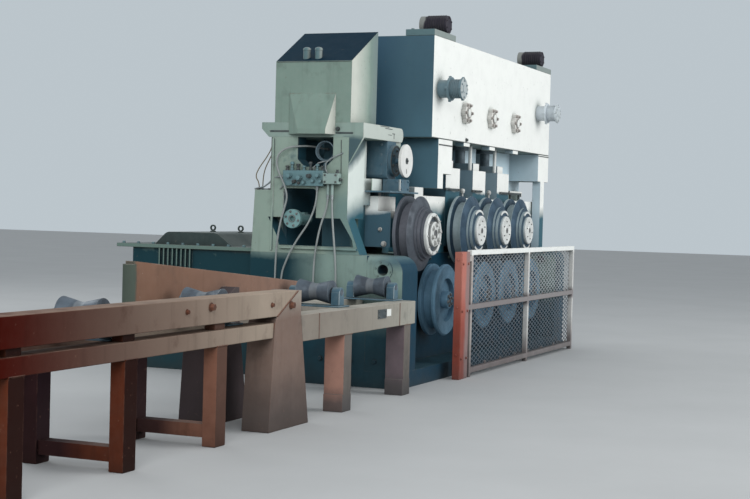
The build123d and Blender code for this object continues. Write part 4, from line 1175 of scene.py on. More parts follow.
@dataclass(frozen=True)
class OilHoses:
    """The hoses from the valve block, the stand and the cross-head."""

    near: Hose = Hose("hose_near", (
        (-0.050, 0.503, 1.744), (-0.050, 0.503, 1.640), (-0.060, 0.482, 1.440), (-0.064, 0.458, 1.240),
        (-0.050, 0.446, 1.050), (-0.050, 0.446, 0.900),
    ), 0.847)
    middle: Hose = Hose("hose_middle", (
        (-0.050, 0.544, 1.744), (-0.050, 0.544, 1.640), (-0.062, 0.604, 1.480), (-0.066, 0.648, 1.260),
        (-0.050, 0.672, 1.060), (-0.050, 0.672, 0.900),
    ), 0.860)
    cross: Hose = Hose("hose_cross", (
        (-0.030, 0.664, 1.824), (-0.030, 0.664, 1.720), (-0.045, 0.684, 1.600), (-0.060, 0.735, 1.470),
        (-0.064, 0.830, 1.340), (-0.066, 0.905, 1.215), (-0.060, 0.960, 1.100), (-0.050, 1.000, 1.000),
        (-0.050, 1.000, 0.900),
    ), 1.007)
    long: Hose = Hose("hose_long", (
        (0.375, 0.745, 2.180), (0.240, 0.745, 2.180), (0.100, 0.790, 2.195), (-0.020, 0.860, 2.190),
        (-0.062, 0.960, 2.176), (-0.066, 1.050, 2.120), (-0.070, 1.072, 2.030), (-0.080, 1.030, 1.930),
        (-0.085, 0.975, 1.835), (-0.080, 0.940, 1.720), (-0.070, 0.975, 1.610), (-0.066, 1.015, 1.480),
        (-0.070, 1.042, 1.310), (-0.060, 1.056, 1.130), (-0.050, 1.063, 1.000), (-0.050, 1.063, 0.900),
    ), 1.886)
    shoulder_1: Hose = Hose("hose_shoulder_1", (
        (0.060, 1.174, 2.275), (0.060, 1.174, 2.190), (0.060, 1.235, 2.085), (0.060, 1.310, 1.990),
        (0.060, 1.352, 1.905), (0.060, 1.305, 1.845), (0.060, 1.305, 1.780),
    ), 0.552, 0.010, Finish.BROWN_RUBBER, 0.026)
    shoulder_2: Hose = Hose("hose_shoulder_2", (
        (0.100, 1.174, 2.275), (0.100, 1.174, 2.180), (0.100, 1.215, 2.085), (0.100, 1.270, 1.985),
        (0.100, 1.290, 1.880), (0.100, 1.290, 1.780),
    ), 0.517, 0.010, Finish.BROWN_RUBBER, 0.026)

    def make(self) -> None:
        """Lay all hoses."""
        for hose in (self.near, self.middle, self.cross, self.long, self.shoulder_1, self.shoulder_2):
            hose.make()


@dataclass(frozen=True)
class Studio:
    """Plain pale floor and backdrop with soft lamps."""

    floor: Colour = (0.42, 0.43, 0.43)
    backdrop: Colour = (0.50, 0.56, 0.60)
    ambience: float = 0.66
    half_size: float = 60.0
    lamps: tuple[tuple[str, Point, Point, float, float], ...] = (
        ("operator_side_lamp", (4.0, -15.0, 7.0), (1.5, 0.5, 1.4), 9.0, 1500.0),
        ("entry_lamp", (-15.0, -5.0, 8.0), (-1.0, 0.0, 1.0), 8.0, 1250.0),
        ("drive_side_lamp", (3.0, 13.0, 9.0), (1.0, 1.0, 1.5), 8.0, 500.0),
    )

    def lamp(self, name: str, place: Point, target: Point, size: float, power: float) -> None:
        """Add a soft square lamp.

        Args:
            name: Name of the lamp.
            place: Where it hangs.
            target: Point that it shines at.
            size: Length of its sides.
            power: Its power in watts.
        """
        data = bpy.data.lights.new(name, "AREA")
        data.size = size
        data.energy = power
        made = add_object(name, data)
        made.location = place
        made.rotation_mode = "QUATERNION"
        made.rotation_quaternion = (Vector(target) - Vector(place)).to_track_quat("-Z", "Y")

    def world(self) -> None:
        """Light the scene evenly, and show the backdrop's colour behind it and in what shines."""
        world = bpy.data.worlds.new("studio")
        bpy.context.scene.world = world
        world.use_nodes = True
        tree = world.node_tree
        tree.nodes.clear()
        ambient = tree.nodes.new("ShaderNodeBackground")
        ambient.inputs[0].default_value = (0.90, 0.95, 1.0, 1.0)
        ambient.inputs[1].default_value = self.ambience
        seen = tree.nodes.new("ShaderNodeBackground")
        seen.inputs[0].default_value = (*self.backdrop, 1.0)
        path = tree.nodes.new("ShaderNodeLightPath")
        mix = tree.nodes.new("ShaderNodeMixShader")
        output = tree.nodes.new("ShaderNodeOutputWorld")
        rays = path.outputs["Is Camera Ray"]
        for kind in ("Is Glossy Ray", "Is Transmission Ray"):
            either = tree.nodes.new("ShaderNodeMath")
            either.operation = "MAXIMUM"
            tree.links.new(rays, either.inputs[0])
            tree.links.new(path.outputs[kind], either.inputs[1])
            rays = either.outputs[0]
        tree.links.new(rays, mix.inputs[0])
        tree.links.new(ambient.outputs[0], mix.inputs[1])
        tree.links.new(seen.outputs[0], mix.inputs[2])
        tree.links.new(mix.outputs[0], output.inputs[0])

    def ground(self) -> None:
        """Lay the floor."""
        work = bmesh.new()
        h = self.half_size
        work.faces.new([work.verts.new(point) for point in ((-h, -h, 0), (h, -h, 0), (h, h, 0), (-h, h, 0))])
        data = bpy.data.meshes.new("floor")
        work.to_mesh(data)
        work.free()
        floor = add_object("floor", data)
        s = Shader("floor_grey")
        spread = s.between(s.noise(0.7, 5.0), 0.3, 0.7)
        s.put(s.surface.inputs["Base Color"], s.blend(spread, self.floor, shade(self.floor, 0.93)))
        s.surface.inputs["Roughness"].default_value = 0.8
        data.materials.append(s.material)

    def make(self) -> None:
        """Build the whole stage."""
        self.world()
        self.ground()
        for lamp in self.lamps:
            self.lamp(*lamp)
        LOG.info("floor, backdrop and three lamps are set")


@dataclass(frozen=True)
class FrameDressing:
    """Finishes and eased edges of the nodes that stay as they are."""

    finishes: dict[str, Finish] = field(default_factory=lambda: {
        "": Finish.FRAME, "bed": Finish.BED, "entry_stand": Finish.STAND, "cross_head": Finish.CROSS_HEAD,
        "head_box": Finish.HEAD, "head_hood": Finish.HEAD, "shaft_cover": Finish.SHAFT_COVER,
        "manifold": Finish.FITTING, "chock": Finish.CHOCK, "chock_1": Finish.FIRST_CHOCK,
        "upper_roll": Finish.ROLL, "upper_roll_1": Finish.FIRST_ROLL, "lower_roll": Finish.LOWER_ROLL,
        "v_roller": Finish.TABLE_ROLL, "handwheel": Finish.WHEEL, "roof_motors": Finish.MOTOR_RED,
        "reducer": Finish.REDUCER, "table": Finish.PRIMER, "table_legs": Finish.PRIMER_LEG,
        "table_ties": Finish.PRIMER_LEG, "table_spacers": Finish.PRIMER_LEG,
        "table_posts": Finish.PRIMER_POST,
        "short": Finish.PRIMER_PALE, "short_legs": Finish.PRIMER_FOOT, "guide_board": Finish.BOARD,
        "roller_plates": Finish.OILY_PAINT, "roller_bearings": Finish.OILY_PAINT, "guard_post": Finish.ORANGE,
        "guard": Finish.GUARD, "screws": Finish.SCREW, "balance_rods": Finish.BRIGHT,
        "screwdown_case": Finish.OILY_PAINT, "lower_bearings": Finish.OILY_PAINT,
        "ledge": Finish.PALE_AND_GLARE_PAINT,
        "roof_plates": Finish.ROOF, "beam_covers": Finish.COVER, "face_motors": Finish.FACE_MOTOR,
    })
    widths: dict[str, float] = field(default_factory=lambda: {
        "": 0.006, "bed": 0.012, "main_beam": 0.008, "chock": 0.006, "table": 0.007, "short": 0.006,
        "guide_board": 0.004, "guard": 0.003, "upper_roll": 0.004, "lower_roll": 0.004, "v_roller": 0.003,
        "handwheel": 0.003, "balance_rods": 0.002, "reducer": 0.010, "head_hood": 0.003, "hose": 0.0,
    })

    @staticmethod
    def pick(choices: dict[str, object], node: str) -> object:
        """Return the choice whose key is the longest start of a node's name."""
        return choices[max((key for key in choices if node.startswith(key)), key=len)]

    def make(self) -> None:
        """Dress every node of the frame."""
        for name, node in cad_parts.items():
            finish = self.pick(self.finishes, name)
            node.data.materials.clear()
            node.data.materials.append(finish.material)
            width = self.pick(self.widths, name)
            if width:
                ease_edges(node, width)
            LOG.info("%s is in %s", name, finish.value.name)


@dataclass(frozen=True)
class GuardFittings:
    """Expanded metal of the guard with long diamonds, its clips, and the bolts of its post."""

    diamond: tuple[float, float] = (0.125, 0.050)
    strand: float = 0.009
    shortest: float = 0.02
    thickness: float = 0.004
    clip: tuple[float, float] = (0.040, 0.024)
    clip_count: int = 8
    middle_bar: float = 0.722
    bar_inset: float = 0.062
    bolt_heights: tuple[float, ...] = (0.20, 0.66, 1.12)

    def mesh(self) -> None:
        """Weave the strands across the sheet's own box."""
        sheet = Extent.of("guard_mesh")
        mesher = Mesher()
        middle = sheet.centre.y
        slope = self.diamond[1] / self.diamond[0]
        reach = sheet.size.z / slope
        rise = self.strand / 2 * math.hypot(1.0, slope)
        start = sheet.low.x - reach
        for way in (1, -1):
            offset = self.thickness * 0.5 * way
            near, far = middle - self.thickness / 2 + offset * 0.5, middle + self.thickness / 2 + offset * 0.5
            for i in range(int((sheet.size.x + reach) / self.diamond[0]) + 1):
                foot = start + i * self.diamond[0]
                x0, x1 = max(foot, sheet.low.x), min(foot + reach, sheet.high.x)
                if x1 - x0 < self.shortest:
                    continue
                z0, z1 = (sheet.low.z + (x - foot) * slope for x in (x0, x1))
                if way < 0:
                    z0, z1 = sheet.low.z + sheet.high.z - z0, sheet.low.z + sheet.high.z - z1
                corners = ((x0, z0 - rise), (x1, z1 - rise), (x1, z1 + rise), (x0, z0 + rise))
                mesher.prism(Y, near, far, corners)
        mesher.piece("guard_expanded_metal", Finish.STRAND, Slot.PALE, replaces="guard_mesh")

    def clips(self) -> None:
        """Add the flat clips and screws that hold the mesh to the bars."""
        sheet, rails = Extent.of("guard_mesh"), Extent.of("guard_rails")
        clips, screws = Mesher(), Mesher()
        wide, tall = self.clip[0] / 2, self.clip[1] / 2
        front = sheet.low.y - 0.004
        for z in (rails.low.z + self.bar_inset, self.middle_bar, rails.high.z - self.bar_inset):
            for x in spaced(sheet.low.x + 0.10, sheet.high.x - 0.10, self.clip_count):
                clips.block((x - wide, front - 0.001, z - tall), (x + wide, front + 0.004, z + tall))
                screws.bolt((x, front - 0.001, z), 0.012)
        clips.piece("guard_clips", Finish.GUARD, Slot.PALE, bevel=0.001)
        screws.piece("guard_clip_screws", Finish.BOLT, Slot.STEEL)

    def post(self) -> None:
        """Add the post's bolts and the weld seam along its corner."""
        post = Extent.of("guard_post")
        bolts, seam = Mesher(), Mesher()
        for z in self.bolt_heights:
            bolts.bolts([(x, post.low.y, z) for x in (post.low.x + 0.045, post.high.x - 0.045)], 0.020)
            bolts.bolt((post.low.x, post.centre.y, z + 0.04), 0.018, Face.ENTRY)
        bolts.piece("guard_post_bolts", Finish.ORANGE, Slot.ORANGE)
        seam.tube([(post.low.x + 0.012, post.low.y - 0.001, z) for z in (0.02, 1.215)], 0.004)
        seam.piece("guard_post_weld", Finish.ORANGE, Slot.ORANGE)

    def make(self) -> None:
        """Dress the guard."""
        self.mesh()
        self.clips()
        self.post()


@dataclass(frozen=True)
class RollHubs:
    """Bolted rings and bosses on the faces of the rolls, and painted glints on the collars."""

    hub_radius: float = 0.155
    big_radius: float = 0.200
    collar_radius: float = 0.2155
    collar_face: float = -0.142
    collar_glint_sweep: float = 1.24
    lower_face: float = -0.120

    @staticmethod
    def face(name: str) -> Point:
        """Return the middle of a roll's face to the operator."""
        box = Extent.of(name)
        return box.centre.x, box.low.y, box.centre.z

    def first(self) -> None:
        """Dress the big hub of the first upper roll with its raised ring, bolted boss and plug."""
        name = "upper_roll_1"
        x, y, z = self.face(name)
        r = self.big_radius
        bright, bolts, dark = Mesher(), Mesher(), Mesher()
        bright.ring((x, y, z), (
            (0.003, r), (-0.026, r), (-0.034, r - 0.008), (-0.034, r - 0.030), (-0.026, r - 0.036),
            (0.003, r - 0.036),
        ), 64)
        bright.lathe((x, y, z), (
            (0.002, 0.118), (-0.040, 0.118), (-0.046, 0.112), (-0.046, 0.040), (-0.042, 0.036),
        ), 48)
        bright.piece(f"{name}_hub_ring", Finish.BRIGHT, Slot.BRIGHT, name, bevel=0.002)
        bolts.bolt_circle((x, y - 0.046, z), 0.086, 6, 0.35, 0.034)
        bolts.bolt_circle((x, y - 0.034, z), r - 0.019, 10, 0.1, 0.013)
        bolts.piece(f"{name}_hub_bolts", Finish.PALE_BOLT, Slot.BRIGHT, name)
        dark.lathe((x, y, z), ((-0.044, 0.046), (-0.048, 0.046), (-0.050, 0.036)), 24)
        dark.piece(f"{name}_hub_plug", Finish.BOLT, Slot.STEEL, name)

    def upper(self, number: int) -> None:
        """Dress the pale hub of one of the other upper rolls, with painted glints on the top and bottom of
        its collar.

        Args:
            number: Number of the roll, from 2 on.
        """
        name = f"upper_roll_{number}"
        x, y, z = self.face(name)
        hub, collar = self.hub_radius, self.collar_radius
        bright, dark = Mesher(), Mesher()
        bright.lathe((x, y, z), (
            (0.002, hub - 0.001), (-0.005, hub - 0.004), (-0.007, hub - 0.018), (-0.004, hub - 0.024),
            (-0.004, 0.060), (-0.007, 0.056), (-0.007, 0.030),
        ), 56)
        # Bright arcs on the top and bottom of the collar: painted glints.
        for middle in (0.5, 1.5):
            bright.arc((x, self.collar_face, z), (
                (0.004, collar), (-0.005, collar), (-0.006, collar - 0.022), (0.004, collar - 0.022),
            ), math.pi * middle - self.collar_glint_sweep / 2, self.collar_glint_sweep, 20)
        bright.piece(f"{name}_hub_disc_and_glints", Finish.BRIGHT, Slot.BRIGHT, name)
        dark.lathe((x, y, z), ((-0.004, 0.031), (-0.010, 0.031), (-0.012, 0.022)), 6)
        dark.bolt_circle((x, y - 0.004, z), 0.098, 6, 0.2 * number, 0.012)
        dark.piece(f"{name}_hub_bolts", Finish.BOLT, Slot.STEEL, name)

    def lower(self, number: int) -> None:
        """Dress the recessed face of one lower roll.

        Args:
            number: Number of the roll, from 1 at the entry.
        """
        name = f"lower_roll_{number}"
        x, _, z = self.face(name)
        dark = Mesher()
        dark.bolt_circle((x, self.lower_face, z), 0.055, 6, 0.3, 0.024)
        dark.lathe((x, self.lower_face, z), ((0.001, 0.026), (-0.010, 0.026), (-0.014, 0.018)), 24)
        dark.piece(f"{name}_cap_bolts", Finish.BOLT, Slot.STEEL, name)

    def make(self) -> None:
        """Dress all rolls."""
        self.first()
        for number in range(2, 5):
            self.upper(number)
        for number in range(1, 5):
            self.lower(number)


@dataclass(frozen=True)
class ScrewGear:
    """Socket and bead of the handwheel, pulley ring, plates and bolts of the first roll's screw gear."""

    wheel: Point = (0.760, 0.096, 2.092)
    socket: float = 0.052
    pulley_radius: float = 0.150
    pulley_face: float = 0.205
    case_start: float = 0.600
    box_low: Point = (0.640, 0.115, 1.800)
    box_high: Point = (0.880, 0.290, 1.915)
    plates: tuple[tuple[str, Point, Point], ...] = (
        ("cheek_filler_plate", (0.374, 0.371, 1.660), (0.536, 0.421, 1.912)),
        ("cheek_top_plate", (0.530, 0.368, 1.800), (0.598, 0.378, 1.912)),
        ("shelf_splash_plate", (0.402, 0.298, 1.799), (0.640, 0.308, 1.912)),
    )

    def handwheel(self) -> None:
        """Add the square socket, its screw, the plate behind the slot and the wheel's rim bead."""
        x, y, z = self.wheel
        h = self.socket / 2
        dark, bead = Mesher(), Mesher()
        dark.block((x - h, y - 0.002, z - h), (x + h, y + 0.004, z + h))
        dark.bolt((x, y - 0.002, z), 0.018)
        dark.block((x - 0.019, y + 0.022, z - 0.124), (x + 0.017, y + 0.026, z - 0.076))
        dark.piece("handwheel_socket", Finish.DARK_PAINT, Slot.DARK, "handwheel", bevel=0.001)
        bead.ring((x, y + 0.024, z), (
            (0.002, 0.157), (-0.003, 0.155), (-0.004, 0.148), (-0.002, 0.143), (0.002, 0.142),
        ), 56)
        bead.piece("handwheel_bead", Finish.WHEEL, Slot.WHITE, "handwheel")

    def pulley(self) -> None:
        """Add the ring and the bolts on the pulley's face."""
        x, _, z = self.wheel
        r = self.pulley_radius
        dark = Mesher()
        dark.ring((x, self.pulley_face, z), (
            (0.003, r - 0.004), (-0.005, r - 0.006), (-0.005, r - 0.022), (0.003, r - 0.024),
        ), 48)
        dark.bolt_circle((x, self.pulley_face, z), 0.095, 6, 0.5, 0.020)
        dark.piece("pulley_face_bolts", Finish.DARK_PAINT, Slot.DARK)

    def case(self) -> None:
        """Add the bolts of the case's covers and the pale strip that paints a highlight on the lower box's
        corner.
        """
        bolts, strip = Mesher(), Mesher()
        for z in spaced(1.96, 2.24, 4):
            bolts.bolts([(self.case_start, y, z) for y in (0.295, 0.520)], 0.018, Face.ENTRY)
        (x0, y0, z0), (x1, y1, z1) = self.box_low, self.box_high
        bolts.bolts([(x, y0, z) for x in (x0 + 0.03, x1 - 0.03) for z in (z0 + 0.025, z1 - 0.022)], 0.016)
        bolts.bolts([(x0, y, z1 - 0.022) for y in (y0 + 0.03, y1 - 0.03)], 0.016, Face.ENTRY)
        bolts.piece("screw_gear_bolts", Finish.OILY_PAINT, Slot.DARK)
        # A pale strip down the lower box's corner: painted highlight.
        strip.block((x0 - 0.003, y0 - 0.003, z0 + 0.002), (x0 + 0.014, y0 + 0.012, z1 - 0.002))
        strip.piece("lower_gear_edge_highlight", Finish.PALE_AND_GLARE_PAINT, Slot.GREEN, bevel=0.003)

    def make(self) -> None:
        """Dress the screw gear, and add the cheek's plates and the splash plate on the shelf."""
        self.handwheel()
        self.pulley()
        self.case()
        for name, low, high in self.plates:
            plate = Mesher()
            plate.block(low, high)
            plate.piece(name, Finish.STAND, Slot.GREEN, bevel=0.002)


@dataclass(frozen=True)
class BeamFittings:
    """Bolts and caps of the lobed covers, fins of the motors, keeper bars, seams and bolts of the beam."""

    cover_x: tuple[float, ...] = (2.250, 3.105, 3.960)
    cover_height: float = 2.655
    cover_face: float = 0.005
    lobe_radius: float = 0.090
    motor_x: tuple[float, float] = (1.490, 4.915)
    motor_height: float = 2.840
    roof_motor_x: tuple[float, float] = (1.724, 5.060)
    roof_motor_height: float = 3.507
    roof_motor_radius: float = 0.090
    keepers: tuple[tuple[int, float, float], ...] = ((2, 1.990, 2.450), (3, 2.850, 3.170), (4, 3.830, 4.200))
    keeper_height: tuple[float, float] = (1.845, 1.867)
    keeper_front: float = 0.138
    beam_face: float = 0.049

    def covers(self) -> None:
        """Add a ring, a cap and a bolt on each lobe of the three covers."""
        dark, caps = Mesher(), Mesher()
        for x in self.cover_x:
            middle = (x, self.cover_face, self.cover_height)
            dark.bolt_circle(middle, self.lobe_radius, 6, 0.0, 0.028)
            dark.ring(middle, ((0.002, 0.062), (-0.006, 0.060), (-0.006, 0.050), (0.002, 0.048)))
            caps.lathe(middle, ((0.002, 0.046), (-0.012, 0.044), (-0.018, 0.030), (-0.020, 0.012)))
        dark.piece("lobed_cover_bolts", Finish.COVER_BOLT, Slot.DARK)
        caps.piece("lobed_cover_caps", Finish.PALE_AND_GLARE_PAINT, Slot.GREEN)

    def face_motors(self) -> None:
        """Add fins, flange lugs and end bolts to the motors on the beam's face."""
        fins, bolts = Mesher(), Mesher()
        height = self.motor_height
        for x in self.motor_x:
            for y in spaced(-0.084, -0.158, 5):
                fins.fin((x, y, height), 0.087, 0.095)
            for y, radius in ((-0.054, 0.116), (-0.192, 0.104)):
                for turn in (0.5, 1.5, 0.0, 1.0):
                    a, b = x + radius * math.cos(math.pi * turn), height + radius * math.sin(math.pi * turn)
                    fins.lathe((a, y, b), ((-0.012, 0.013), (0.012, 0.013)), 8)
            bolts.bolt_circle((x, -0.204, height), 0.080, 6, 0.5, 0.016)
            bolts.lathe((x, -0.203, height), ((0.002, 0.040), (-0.006, 0.038), (-0.008, 0.030)))
        fins.piece("face_motor_fins", Finish.FACE_MOTOR, Slot.GREEN)
        bolts.piece("face_motor_bolts", Finish.FACE_MOTOR, Slot.GREEN)

    def roof_motors(self) -> None:
        """Add fins and end bolts to the two motors on the roof."""
        fins = Mesher()
        for x in self.roof_motor_x:
            for y in spaced(0.090, 0.270, 8):
                middle = (x, y, self.roof_motor_height)
                fins.fin(middle, self.roof_motor_radius - 0.002, self.roof_motor_radius + 0.006)
            fins.bolt_circle((x, 0.060, self.roof_motor_height), 0.070, 6, 0.5, 0.014)
        fins.piece("roof_motor_fins", Finish.MOTOR_RED, Slot.RED)

    def keeper_bars(self) -> None:
        """Add the dark keeper bars in front of the chocks, whose dark also paints the shadow line under the
        chocks, and the eye bolts between them.
        """
        low, high = self.keeper_height
        for number, start, end in self.keepers:
            bar = Mesher()
            # The dark bar also paints the shadow line under the chock's face.
            bar.block((start, self.keeper_front, low), (end, 0.162, high))
            bar.bolts([(x, self.keeper_front, (low + high) / 2) for x in (start + 0.08, end - 0.06)], 0.014)
            bar.piece(f"chock_{number}_keeper", Finish.DARK_PAINT, Slot.DARK, f"chock_{number}", bevel=0.002)
        rail, edge, eyes = Mesher(), Mesher(), Mesher()
        rail.block((4.215, 0.162, low), (4.684, 0.190, high))
        for x in (4.290, 4.620):
            rail.block((x, 0.165, 1.770), (x + 0.030, 0.187, low + 0.002))
        rail.piece("exit_keeper_rail", Finish.DARK_PAINT, Slot.DARK, bevel=0.002)
        edge.block((4.225, 0.156, high + 0.0005), (4.700, 0.188, high + 0.020))
        edge.block((4.682, 0.156, low - 0.018), (4.700, 0.188, high + 0.001))
        edge.piece("exit_keeper_edge", Finish.PALE_AND_GLARE_PAINT, Slot.GREEN, bevel=0.002)
        for x in (2.680, 3.575):
            eyes.lathe((x, 0.200, 1.774), (
                (0.0, 0.020), (0.012, 0.020), (0.014, 0.009), (0.050, 0.009), (0.056, 0.020), (0.078, 0.027),
                (0.098, 0.020), (0.104, 0.006),
            ), 20, Z)
        eyes.piece("column_eye_bolts", Finish.PALE_BOLT, Slot.BRIGHT)

    def seams(self) -> None:
        """Add the weld seams of the beam's face and the bolts on its roof and exit end."""
        seams, pads = Mesher(), Mesher()
        for start, end, z, radius in (
            (1.500, 1.895, 2.290, 0.006), (1.310, 5.420, 2.352, 0.004), (4.997, 5.420, 2.330, 0.005),
        ):
            seams.tube([(x, self.beam_face, z) for x in (start, end)], radius)
        seams.bolt((2.314, 0.050, 2.378), 0.030)
        seams.piece("beam_seams", Finish.DARK_PAINT, Slot.DARK)
        pads.bolts([(x, 0.330, 3.417) for x in spaced(1.42, 5.32, 12)], 0.030, Face.TOP)
        pads.bolts([(5.430, y, z) for z in spaced(2.47, 3.23, 6) for y in (0.130, 0.870)], 0.026, Face.EXIT)
        pads.piece("beam_bolts", Finish.ROOF, Slot.GREEN)

    def make(self) -> None:
        """Dress the beam and what hangs on it."""
        self.covers()
        self.face_motors()
        self.roof_motors()
        self.keeper_bars()
        self.seams()


@dataclass(frozen=True)
class StandFittings:
    """Pipes, coil, valves, caps, seams and bolts of the entry stand and its head."""

    manifold_front: float = -0.060
    manifold_top: float = 1.965
    valve_low: Point = (-0.100, 0.434, 1.844)
    valve_high: Point = (0.0, 0.577, 1.942)
    valve_y: tuple[float, ...] = (0.615, 0.665, 0.735, 0.800, 0.862, 0.922, 0.972)
    coil_centre: tuple[float, float] = (0.626, 2.150)
    coil_radius: float = 0.090
    coil_turns: int = 3
    coil_steps: int = 28
    pipe_radius: float = 0.006
    caps: tuple[float, float] = (0.730, 0.850)
    cap_x: float = 0.070
    cap_profile: Outline = (
        (-0.020, 0.034), (0.062, 0.034), (0.066, 0.037), (0.078, 0.037), (0.090, 0.030), (0.096, 0.015),
    )
    chock_face: float = 0.545
    nipples: tuple[Point, ...] = ((0.262, 1.437, 0.020), (0.222, 1.300, 0.028))
    shaft: Point = (0.0, 0.928, 1.518)
    fittings: tuple[Point, ...] = (
        (0.930, 1.912, 0.024), (0.880, 1.862, 0.018), (0.827, 1.894, 0.026), (0.782, 1.852, 0.018),
        (0.730, 1.914, 0.022), (0.690, 1.868, 0.017), (0.640, 1.918, 0.021), (0.836, 1.848, 0.014),
        (0.612, 1.866, 0.016), (0.905, 1.845, 0.015),
    )
    cracks: tuple[tuple[float, float, float, float], ...] = (
        (0.52, 2.385, 0.70, 2.392), (0.70, 2.345, 0.765, 2.352), (0.60, 2.330, 0.69, 2.335),
        (0.74, 2.30, 0.752, 2.345), (0.40, 2.400, 0.62, 2.406),
    )

    def valves(self) -> None:
        """Add the screwed fittings on the manifold's face and the valve heads on its top."""
        pale, dark = Mesher(), Mesher()
        for i, (y, z, radius) in enumerate(self.fittings):
            mesher = dark if i % 3 == 1 else pale
            face = (self.manifold_front, y, z)
            mesher.lathe(face, ((0.002, radius), (-radius * 0.8, radius)), 6, X)
            mesher.lathe(face, (
                (-radius * 0.8, radius * 0.62), (-radius * 1.5, radius * 0.62),
                (-radius * 1.6, radius * 0.82), (-radius * 2.1, radius * 0.82), (-radius * 2.2, radius * 0.5),
            ), 16, X)
        for i, y in enumerate(self.valve_y):
            mesher = pale if i % 2 else dark
            tall = 0.030 + 0.012 * (i % 3)
            mesher.lathe((-0.032, y, self.manifold_top), (
                (-0.002, 0.017), (tall * 0.4, 0.017), (tall * 0.45, 0.011), (tall, 0.011),
                (tall * 1.05, 0.019), (tall * 1.4, 0.019), (tall * 1.5, 0.010),
            ), 16, Z)
        (x, y0, z0), (_, y1, z1) = self.valve_low, self.valve_high
        corners = [(x, y, z) for y in (y0 + 0.018, y1 - 0.018) for z in (z0 + 0.018, z1 - 0.018)]
        dark.bolts(corners, 0.014, Face.ENTRY)
        upright = ((-0.002, 0.018), (0.014, 0.018), (0.016, 0.012), (0.034, 0.012))
        dark.lathe((-0.050, 0.455, z1), upright, 16, Z)
        level = ((0.002, 0.016), (-0.016, 0.016), (-0.018, 0.009), (-0.030, 0.009))
        dark.lathe((-0.050, 0.434, 1.885), level, 16)
        pale.piece("manifold_fittings", Finish.FITTING, Slot.GREEN)
        dark.piece("manifold_plugs", Finish.DARK_PAINT, Slot.DARK)

    def coil(self) -> None:
        """Add the pipe coil in the upper window with its two ends."""
        y, z = self.coil_centre
        line = [(-0.030, 0.600, self.manifold_top - 0.004), (-0.030, 0.600, 2.010), (0.000, 0.606, 2.046)]
        steps = self.coil_steps * self.coil_turns
        for i in range(steps + 1):
            turn = -math.pi / 2 + 2 * math.pi * i / self.coil_steps
            radius = self.coil_radius * (1.0 - 0.10 * i / steps)
            along = 0.030 + 0.020 * i / self.coil_steps
            line.append((along, y + radius * math.cos(turn), z + radius * math.sin(turn)))
        line += [(0.120, 0.640, 2.060), (0.170, 0.640, 2.040)]
        pipe = Mesher()
        pipe.tube(line, self.pipe_radius, 10)
        pipe.piece("window_coil", Finish.COIL, Slot.STEEL)

    def pipes(self) -> None:
        """Add the thin pipes in front of the stand and on its shoulder."""
        pipes, clamps = Mesher(), Mesher()
        thin = self.pipe_radius
        for radius, route in (
            (thin, [
                (-0.040, 0.560, 1.940), (-0.040, 0.582, 1.985), (-0.040, 0.577, 2.036),
                (-0.036, 0.538, 2.073), (-0.024, 0.480, 2.104), (-0.004, 0.429, 2.129), (0.006, 0.424, 2.131),
            ]),
            (thin, [
                (-0.030, 0.700, 1.960), (-0.034, 0.700, 2.000), (-0.030, 0.660, 2.034),
                (-0.020, 0.610, 2.050), (0.010, 0.560, 2.060), (0.050, 0.545, 2.090),
            ]),
            (0.008, [
                (0.026, 1.335, 1.788), (0.026, 1.290, 1.796), (0.026, 1.240, 1.808), (0.022, 1.190, 1.840),
                (0.016, 1.140, 1.886), (-0.004, 1.085, 1.902), (-0.030, 1.030, 1.908), (-0.040, 0.996, 1.905),
            ]),
            (thin, [
                (0.040, 1.330, 1.788), (0.040, 1.100, 1.788), (0.004, 1.060, 1.790), (-0.020, 1.040, 1.800),
                (-0.024, 0.995, 1.850),
            ]),
        ):
            pipes.tube(route, radius, 10)
        pipes.piece("stand_pipes", Finish.PIPE, Slot.STEEL)
        for y, z in ((1.300, 1.780), (1.180, 1.780)):
            clamps.block((0.010, y - 0.010, z - 0.002), (0.056, y + 0.010, z + 0.016))
        clamps.piece("pipe_clamps", Finish.BOLT, Slot.STEEL, bevel=0.002)

    def roof_caps(self) -> None:
        """Add the pale domes on the two caps of the head's roof."""
        domes = Mesher()
        for y in self.caps:
            domes.lathe((self.cap_x, y, 2.975 + self.cap_x * 0.55), self.cap_profile, 24, Z)
        domes.piece("head_roof_caps", Finish.ROOF, Slot.GREEN)

    def seams(self) -> None:
        """Add the dark joint lines, the painted shadow lines under the head box and the cracks, and the bolts
        of the stand and its head.
        """
        dark, bolts, cracks = Mesher(), Mesher(), Mesher()
        # Two dark strips under the head box: painted shadow lines.
        dark.block((-0.003, 0.930, 2.320), (0.004, 1.175, 2.336))
        dark.block((-0.003, 0.332, 2.306), (0.004, 0.505, 2.322))
        for radius, *ends in (
            (0.005, (1.150, 2.030), (1.150, 1.785)), (0.005, (1.152, 2.270), (1.150, 2.035)),
            (0.004, (0.447, 2.250), (0.441, 1.935)),
        ):
            dark.tube([(-0.001, *end) for end in ends], radius)
        dark.bolt((0.0, 0.484, 2.350), 0.030, Face.ENTRY)
        dark.tube([(-0.001, y, 2.968) for y in (0.372, 1.118)], 0.003)
        dark.piece("stand_seams_and_shadow_lines", Finish.DARK_PAINT, Slot.DARK)
        seats = [(x, 1.160, z) for x in spaced(0.30, 1.05, 4) for z in (1.320, 1.760, 2.180)]
        bolts.bolts(seats, 0.024, Face.BACK)
        bolts.bolts([(x, 1.130, z) for x in (0.080, 0.300, 0.520) for z in (2.460, 2.880)], 0.018, Face.BACK)
        bolts.piece("stand_bolts", Finish.STAND, Slot.GREEN)
        for x0, z0, x1, z1 in self.cracks:
            cracks.block((x0, 0.2285, z0), (x1, 0.2315, z1))
        cracks.piece("cross_head_cracks", Finish.DARK_PAINT, Slot.DARK)

